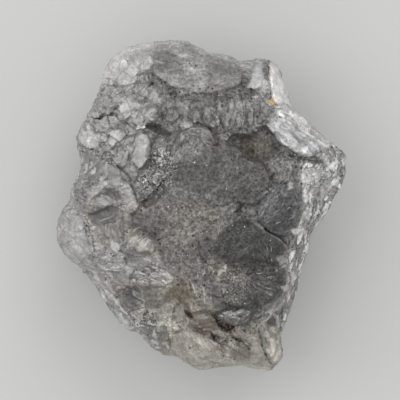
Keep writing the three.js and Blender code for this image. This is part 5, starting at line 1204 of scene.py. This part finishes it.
def diamond_material(settings):
    """Rough diamond, partly dissolved by hot melt: clear and greasy-bright where its skin is smooth, grey
    and frosted where it is etched, with rust and soot in the cracks, painted shade in the grooves and
    under the ledges, and painted highlights on ridges and rims."""
    material = bpy.data.materials.new("etched rough diamond")
    material.use_nodes = True
    tree = material.node_tree
    tree.nodes.clear()
    add = functools.partial(add_node, tree)
    read = {name: add("Attribute", output="Fac", attribute_name=name)
            for name in ("tone", "clear", "dark_joints_and_shade", "bright", "rust", "warm")}
    for name, parts in (("ways", ("along", "across", "flow")),
                        ("cracks_and_shadows", ("crack", "crack dark", "crack gap")),
                        ("fissures_and_highlights", ("fissure", "fissure bright", "fissure gap")),
                        ("mosaic", ("grit", "blocks", "chips")),
                        ("flecks", ("shards", "pepper", "salt"))):
        read[name] = add("Attribute", output="Vector", attribute_name=name)
        read.update(zip(parts, add("SeparateXYZ", read[name]).node.outputs))
    in_mm = add("VectorMath", add("TexCoord", output="Object"), (1 / MM,) * 3, operation="MULTIPLY")

    # Noise: size of the bumps in millimetres, octaves and roughness. Real etch grain is 0.01 mm
    # across or less, too fine to show, so it is drawn a few times as coarse, in patches.
    grain, patches, layers, worms, waves = (
        add("TexNoise", {"Vector": in_mm, "Scale": 1 / size, "Detail": octaves, "Roughness": rough})
        for size, octaves, rough in (
            (0.06667, 2, 0.80), (0.22727, 4, 0.62), (0.58824, 4, 0.55), (0.07692, 1, 0.55),
            (0.25, 2, 0.55)))
    bend = add("VectorMath", waves.node.outputs["Color"], (0.5,) * 3, operation="SUBTRACT")
    bent = add("VectorMath", bend, (0.16,) * 3, in_mm, operation="MULTIPLY_ADD")

    # Edges of growth layers a few hundredths of a millimetre high: thin curved lines, with a painted shade
    # line at each step's foot and a painted highlight on its lip.
    layer = add("Math", layers, 22.0, operation="MULTIPLY")
    step = add("Math", layer, operation="FRACT")
    rise = add("Math", add("Math", layer, operation="FLOOR"),
               add("MapRange", step, 0.80, 1.0, 0.0, 1.0), operation="ADD")
    step_shade = add("Math", add("MapRange", step, 0.72, 0.82, 0.0, 1.0),
                add("MapRange", step, 0.84, 0.92, 1.0, 0.0), operation="MULTIPLY")
    step_highlight = add("Math", add("MapRange", step, 0.90, 0.98, 0.0, 1.0),
               add("MapRange", patches, 0.45, 0.6, 0.0, 1.0), operation="MULTIPLY")

    # Striations that follow each field's own direction, 0.31 mm long and 0.04 mm apart, which is
    # as fine as shows.
    flowing = add("VectorMath", read["ways"], (1 / 0.3125, 1 / 0.03846, 0.0), operation="MULTIPLY")
    lines = add("TexNoise", {"Vector": flowing, "Scale": 1.0, "Detail": 2.0, "Roughness": 0.5})
    line = add("Math", add("MapRange", lines, 0.30, 0.70, -1.0, 1.0), read["flow"],
               operation="MULTIPLY")

    # Worm-shaped ridges along the middle level of the noise, where the etch has bitten deepest.
    middle = add("Math", add("Math", worms, 0.5, operation="SUBTRACT"), operation="ABSOLUTE")
    curl = add("MapRange", middle, 0.012, 0.045, 1.0, 0.0)

    # The tone's unevenness with the steps' painted shade and highlight, and the height of the bumps,
    # before the broken faces.
    shade = 1.0
    for mark, share in ((step_shade, -0.30), (step_highlight, 0.30), (line, 0.55)):
        shade = add("Math", mark, share, shade, operation="MULTIPLY_ADD")
    for mark, share in (
            (add("MapRange", grain, 0.36, 0.64, -0.6, 0.6), read["grit"]),
            (add("MapRange", patches, 0.32, 0.68, -0.36, 0.36),
             add("MapRange", read["grit"], 0.3, 1.0, 0.5, 1.0))):
        uneven = add("Math", mark, share, 1.0, operation="MULTIPLY_ADD")
        shade = add("Math", shade, uneven, operation="MULTIPLY")
    relief = 0.0
    for mark, share in (
            (add("Math", grain, read["grit"], operation="MULTIPLY"), 0.016), (rise, 0.0036),
            (line, 0.009), (add("Math", curl, read["salt"], operation="MULTIPLY"), 0.006)):
        relief = add("Math", mark, share, relief, operation="MULTIPLY_ADD")

    # Broken faces, each with its own tone, tilt and thin dark border. The shards lie along each
    # field's grain and are stretched to 0.18 mm. A row gives the name, the place, the size and the
    # border's half width in millimetres, the contrast, the border's darkness and the tilt.
    upright = add("VectorMath", in_mm, (0.0, 0.0, 0.5), operation="MULTIPLY")
    lengthwise = add("VectorMath", read["ways"], (0.42, 1.0, 0.0), upright, operation="MULTIPLY_ADD")
    lengthwise = add("VectorMath", bend, (0.05, 0.05, 0.0), lengthwise, operation="MULTIPLY_ADD")
    gaps = add("MapRange", patches, 0.35, 0.6, 0.25, 0.9)
    soot_and_shade = read["dark_joints_and_shade"]
    for name, place, size, border, contrast, darkness, tilting in (
            ("blocks", bent, 0.29412, 0.011, 0.18, 1.00, 0.5),
            ("chips", bent, 0.11111, 0.009, 0.30, 0.55, 0.6),
            ("shards", lengthwise, 0.07692, 0.007, 0.46, 0.50, 0.8)):
        cells = add("TexVoronoi", {"Vector": place, "Scale": 1 / size}).node.outputs
        edge = add("TexVoronoi", {"Vector": place, "Scale": 1 / size}, feature="DISTANCE_TO_EDGE")
        luck = add("SeparateColor", cells["Color"]).node.outputs
        away = add("VectorMath", place, cells["Position"], operation="SUBTRACT")
        lean = add("VectorMath", cells["Color"], (0.5,) * 3, operation="SUBTRACT")
        tilt = add("VectorMath", away, lean, output="Value", operation="DOT_PRODUCT")
        tone = add("Math", add("MapRange", luck[0], 0.0, 1.0, -contrast, contrast), read[name], 1.0,
                   operation="MULTIPLY_ADD")
        shade = add("Math", shade, tone, operation="MULTIPLY")
        height = add("Math", tilt, read[name], operation="MULTIPLY")
        relief = add("Math", height, tilting, relief, operation="MULTIPLY_ADD")
        mark = add("MapRange", edge, 0.35 * border / size, border / size, darkness, 0.0)
        for share in (read[name], gaps):
            mark = add("Math", mark, share, operation="MULTIPLY")
        soot_and_shade = add("Math", soot_and_shade, mark, operation="MAXIMUM")
    shard_luck = luck[1]

    # Small round specks of rust, soot and white, on some of the cells of a random grid: the cell's
    # size and the speck's radius in millimetres, what they follow, their share of the cells and
    # their strength. Real ones go down to a micrometre, but only specks this coarse show.
    specks = []
    for size, radius, followed, share, strength in (
            (0.13699, 0.020, "pepper", 0.25, 0.60), (0.11111, 0.030, "pepper", 0.45, 0.95),
            (0.125, 0.015, "salt", 0.40, 0.65)):
        dots = add("TexVoronoi", {"Vector": in_mm, "Scale": 1 / size}).node.outputs
        luck = add("SeparateColor", dots["Color"]).node.outputs
        needed = add("Math", read[followed], -share, 1.0, operation="MULTIPLY_ADD")
        chosen = add("Math", luck[0], needed, operation="GREATER_THAN")
        reach = add("MapRange", luck[1], 0.0, 1.0, 0.5 * radius / size, 1.3 * radius / size)
        off = add("Math", dots["Distance"], reach, operation="DIVIDE")
        spot = add("MapRange", off, 1.0, 0.7, 0.0, strength)
        specks.append(add("Math", spot, chosen, operation="MULTIPLY"))
    rust_specks, soot_specks, white_specks = specks

    # Cracks with the painted ledge shadows, and fissures with the painted highlights on lit rims: ragged
    # lines drawn where the signed distance, in half widths, passes through zero. They fade where the
    # patches are low.
    ragged = add("MapRange", grain, 0.3, 0.7, -0.6, 0.6)
    drawn = []
    for signed, gap, strength, low, high, least in (
            ("crack", "crack gap", "crack dark", 0.40, 0.50, 0.65),
            ("fissure", "fissure gap", "fissure bright", 0.42, 0.56, 0.10)):
        off = add("Math", add("Math", read[signed], operation="ABSOLUTE"), ragged, operation="ADD")
        mark = add("MapRange", off, 0.5, 1.3, 1.0, 0.0)
        for share in (add("MapRange", read[gap], 0.045, 0.060, 1.0, 0.0), read[strength],
                      add("MapRange", patches, low, high, least, 1.0)):
            mark = add("Math", mark, share, operation="MULTIPLY")
        drawn.append(mark)
    crack, fissure = drawn

    # How much rust, soot with the painted shade, and white with the painted highlights there is at each
    # point.
    stain = add("Math", read["rust"], add("MapRange", patches, 0.35, 0.6, 0.6, 1.1),
                operation="MULTIPLY")
    rust = add("Math", stain, rust_specks, operation="MAXIMUM")
    eaten = add("Math", add("MapRange", read["salt"], 0.6, 1.2, 0.0, 1.0),
                add("MapRange", read["pepper"], 0.8, 1.3, 0.0, 1.0), operation="MAXIMUM")
    pits = add("Math", add("MapRange", worms, 0.59, 0.66, 0.0, 0.8), eaten, operation="MULTIPLY")
    for mark in (soot_specks, pits, crack):
        soot_and_shade = add("Math", soot_and_shade, mark, operation="MAXIMUM")
    # Painted highlights along the worm-shaped ridges, and white flashes on a few shards.
    ridge_highlights, flashes = curl, add("MapRange", shard_luck, 0.78, 0.82, 0.0, 0.90)
    for share in (add("MapRange", read["salt"], 0.4, 1.4, 0.0, 0.9),
                  add("MapRange", patches, 0.4, 0.6, 0.4, 1.0)):
        ridge_highlights = add("Math", ridge_highlights, share, operation="MULTIPLY")
    for share in (read["shards"], read["salt"]):
        flashes = add("Math", flashes, share, operation="MULTIPLY")
    white_and_highlights = read["bright"]
    for mark in (fissure, white_specks, ridge_highlights, flashes,
                 add("MapRange", line, 0.40, 0.80, 0.0, 0.75)):
        white_and_highlights = add("Math", white_and_highlights, mark, operation="MAXIMUM")
    unsooted = add("Math", soot_and_shade, -0.7, 1.0, operation="MULTIPLY_ADD")
    white_and_highlights = add("Math", white_and_highlights, unsooted, operation="MULTIPLY")

    albedo = add("Math", read["tone"], add("Math", shade, 0.2, operation="MAXIMUM"),
                 operation="MULTIPLY")
    warmth = add("MapRange", read["warm"], -1.0, 1.0, 0.0, 1.0)
    tint = add("Mix", {0: warmth, 6: linear("#e9eefa"), 7: linear("#ffefcb")}, output=2,
               data_type="RGBA")
    body = add("VectorMath", {0: tint, "Scale": albedo}, operation="SCALE")
    for share, most, colour in (
            (rust, 0.92, settings.rust), (soot_and_shade, 0.95, settings.soot_and_shade), (white_and_highlights, 0.95, settings.frost)):
        share = add("Math", share, most, operation="MINIMUM")
        body = add("Mix", {0: share, 6: body, 7: tuple(colour)}, output=2, data_type="RGBA")

    # Light passes where the skin is clear and clean.
    clean = read["clear"]
    for mark in (white_and_highlights, soot_and_shade):
        clean = add("Math", clean, add("Math", 1.0, mark, operation="SUBTRACT"),
                    operation="MULTIPLY")
    passing = add("Math", add("MapRange", clean, 0.1, 0.8, 0.05, 0.72),
                  add("MapRange", patches, 0.35, 0.65, 1.0, 0.7), operation="MULTIPLY")
    rough = add("Math", add("MapRange", read["clear"], 0.05, 0.7, 0.60, 0.14),
                add("MapRange", grain, 0.3, 0.7, 0.06, -0.06), operation="ADD")
    bump = add("Bump", {"Height": relief, "Strength": 0.8, "Distance": MM})
    shader = add("BsdfPrincipled", {
        "Base Color": body, "Roughness": rough, "IOR": 2.417, "Transmission Weight": passing,
        "Specular IOR Level": 0.14, "Normal": bump})
    # Faintly grey-brown through several millimetres, as a low-colour stone is.
    depth = add("VolumeAbsorption", {"Color": linear("#e2e0da"), "Density": 40.0})
    add("OutputMaterial", {"Surface": shader, "Volume": depth})
    return material


def grain_material(name, colour):
    """Mineral dust, dull and nearly black, rust red or ochre, so it stands out as crisp specks."""
    material = bpy.data.materials.new(name)
    material.use_nodes = True
    tree = material.node_tree
    tree.nodes.clear()
    add = functools.partial(add_node, tree)
    # Blotches of 0.025 mm, as coarse as the grains themselves.
    place = add("TexCoord", output="Object")
    spots = add("TexNoise", {"Vector": place, "Scale": 1 / (0.025 * MM)})
    blotch = add("MapRange", spots, 0.0, 1.0, 0.6, 1.5)
    tint = add("VectorMath", {0: colour[:3], "Scale": blotch}, operation="SCALE")
    shader = add("BsdfPrincipled", {"Base Color": tint, "Roughness": 0.75})
    add("OutputMaterial", {"Surface": shader})
    return material


class DIAMOND_OT_crystal(bpy.types.Operator):
    """Builds the crystal's etched and stained surface over its solid"""

    bl_idname = "rough_diamond.crystal"
    bl_label = "Crystal"

    def execute(self, context):
        settings = context.scene.rough_diamond
        crystal = crystal_mesh(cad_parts["rough_diamond"])
        finish_surface(crystal, settings)
        crystal.data.materials.clear()
        crystal.data.materials.append(diamond_material(settings))
        only(crystal)
        bpy.ops.object.shade_smooth_by_angle(angle=math.radians(SMOOTH_ANGLE))
        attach(crystal, "root")
        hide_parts("rough_diamond")
        return {"FINISHED"}


def scatter_grains(name, grains, material):
    """Small flattened lumps at the given places, each pressed a little into the crown."""
    crystal = bpy.data.objects["crystal"]
    made = []
    for index, (x, y, radius) in enumerate(grains):
        hit, place, normal, _ = crystal.ray_cast(Vector((x * MM, y * MM, 0.01)), Vector((0, 0, -1)))
        if not hit:
            raise RuntimeError(f"no surface under the grain at {x}, {y}")
        bpy.ops.object.select_all(action="DESELECT")
        bpy.ops.mesh.primitive_ico_sphere_add(subdivisions=2, radius=radius * MM, location=place)
        lump = bpy.context.object
        lump.scale = (1.0, 0.62 + 0.1 * (index % 4), 0.45)
        lump.rotation_euler = normal.to_track_quat("Z", "Y").to_euler()
        bpy.ops.object.transform_apply(location=True, rotation=True, scale=True)
        for vertex in lump.data.vertices:
            bump = noise.noise(vertex.co / (0.6 * radius * MM) + Vector((index, 0, 0)))
            vertex.co += (vertex.co - place) * 0.35 * bump
        made.append(lump)
    bpy.ops.object.select_all(action="DESELECT")
    for lump in made:
        lump.select_set(True)
    bpy.context.view_layer.objects.active = made[0]
    bpy.ops.object.join()
    cluster = bpy.context.object
    cluster.name = cluster.data.name = name
    cluster.data.materials.append(material)
    bpy.ops.object.shade_smooth()
    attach(cluster, "root")


class DIAMOND_OT_grains(bpy.types.Operator):
    """Sticks the black, rust-red and ochre grains to the crown"""

    bl_idname = "rough_diamond.grains"
    bl_label = "Grains"

    def execute(self, context):
        settings = context.scene.rough_diamond
        scatter_grains("black_grains", GRAINS, grain_material("graphite dust", settings.soot_and_shade))
        rust = grain_material("rust crumbs", linear("#46261a"))
        scatter_grains("rust_grains", RUST_GRAINS, rust)
        ochre = grain_material("ochre clay", linear("#b8935a"))
        scatter_grains("ochre_grains", OCHRE_GRAINS, ochre)
        return {"FINISHED"}


# ---- The stage ----


def area_light(name, place, size, power):
    """A square white light that shines on the crystal's middle."""
    bpy.ops.object.select_all(action="DESELECT")
    bpy.ops.object.light_add(type="AREA", location=place)
    lamp = bpy.context.object
    lamp.name = name
    lamp.data.shape = "SQUARE"
    lamp.data.size = size
    lamp.data.energy = power
    lamp.rotation_euler = (MIDDLE - Vector(place)).to_track_quat("-Z", "Y").to_euler()


class DIAMOND_OT_stage(bpy.types.Operator):
    """Sets up the pale floor, the soft light and the camera straight above the crystal"""

    bl_idname = "rough_diamond.stage"
    bl_label = "Stage"

    def execute(self, context):
        stage = context.scene.rough_diamond_stage
        bpy.ops.object.select_all(action="DESELECT")
        bpy.ops.mesh.primitive_plane_add(size=1.2, location=(0, 0, 0))
        floor = context.object
        floor.name = "floor"
        # Matt paper, so the floor takes a soft shadow and gives no gleam.
        paper = bpy.data.materials.new("matt pale paper")
        paper.use_nodes = True
        bsdf = paper.node_tree.nodes["Principled BSDF"]
        bsdf.inputs["Base Color"].default_value = tuple(stage.floor)
        bsdf.inputs["Roughness"].default_value = 0.9
        bsdf.inputs["Specular IOR Level"].default_value = 0.1
        floor.data.materials.append(paper)

        for name, place, size, power in (
                ("key", (-0.055, 0.020, 0.090), 0.080, stage.key),
                ("rim", (0.030, 0.080, 0.085), 0.070, stage.rim),
                ("fill", (-0.020, -0.090, 0.080), 0.080, stage.fill)):
            area_light(name, place, size, power)

        world = bpy.data.worlds.new("soft surroundings")
        context.scene.world = world
        world.use_nodes = True
        background = world.node_tree.nodes["Background"]
        background.inputs["Color"].default_value = (1, 1, 1, 1)
        background.inputs["Strength"].default_value = stage.sky

        bpy.ops.object.camera_add(
            location=(-0.02 * MM, 0.11 * MM, GIRDLE * MM + stage.camera_distance))
        camera = context.object
        camera.name = "camera"
        camera.rotation_euler = (0, 0, 0)
        camera.data.lens = stage.lens
        camera.data.sensor_width = 36
        camera.data.clip_start = 0.001
        camera.data.clip_end = 10
        context.scene.camera = camera
        context.scene.view_settings.view_transform = "Standard"
        return {"FINISHED"}


class DIAMOND_PT_panel(bpy.types.Panel):
    """Lists the crystal's settings and its steps"""

    bl_label = "Rough Diamond"
    bl_idname = "DIAMOND_PT_panel"
    bl_space_type = "VIEW_3D"
    bl_region_type = "UI"
    bl_category = "Rough Diamond"

    def draw(self, context):
        for group in (context.scene.rough_diamond, context.scene.rough_diamond_stage):
            box = self.layout.box()
            for name in group.__annotations__:
                box.prop(group, name)
        for operator in (DIAMOND_OT_crystal, DIAMOND_OT_grains, DIAMOND_OT_stage):
            self.layout.operator(operator.bl_idname)


CLASSES = (DiamondSettings, StageSettings, DIAMOND_OT_crystal, DIAMOND_OT_grains,
           DIAMOND_OT_stage, DIAMOND_PT_panel)


def register():
    for cls in CLASSES:
        bpy.utils.register_class(cls)
    bpy.types.Scene.rough_diamond = PointerProperty(type=DiamondSettings)
    bpy.types.Scene.rough_diamond_stage = PointerProperty(type=StageSettings)


def unregister():
    del bpy.types.Scene.rough_diamond_stage
    del bpy.types.Scene.rough_diamond
    for cls in reversed(CLASSES):
        bpy.utils.unregister_class(cls)


def main():
    register()
    bpy.ops.rough_diamond.crystal()
    bpy.ops.rough_diamond.grains()
    bpy.ops.rough_diamond.stage()


if __name__ == "__main__":
    main()
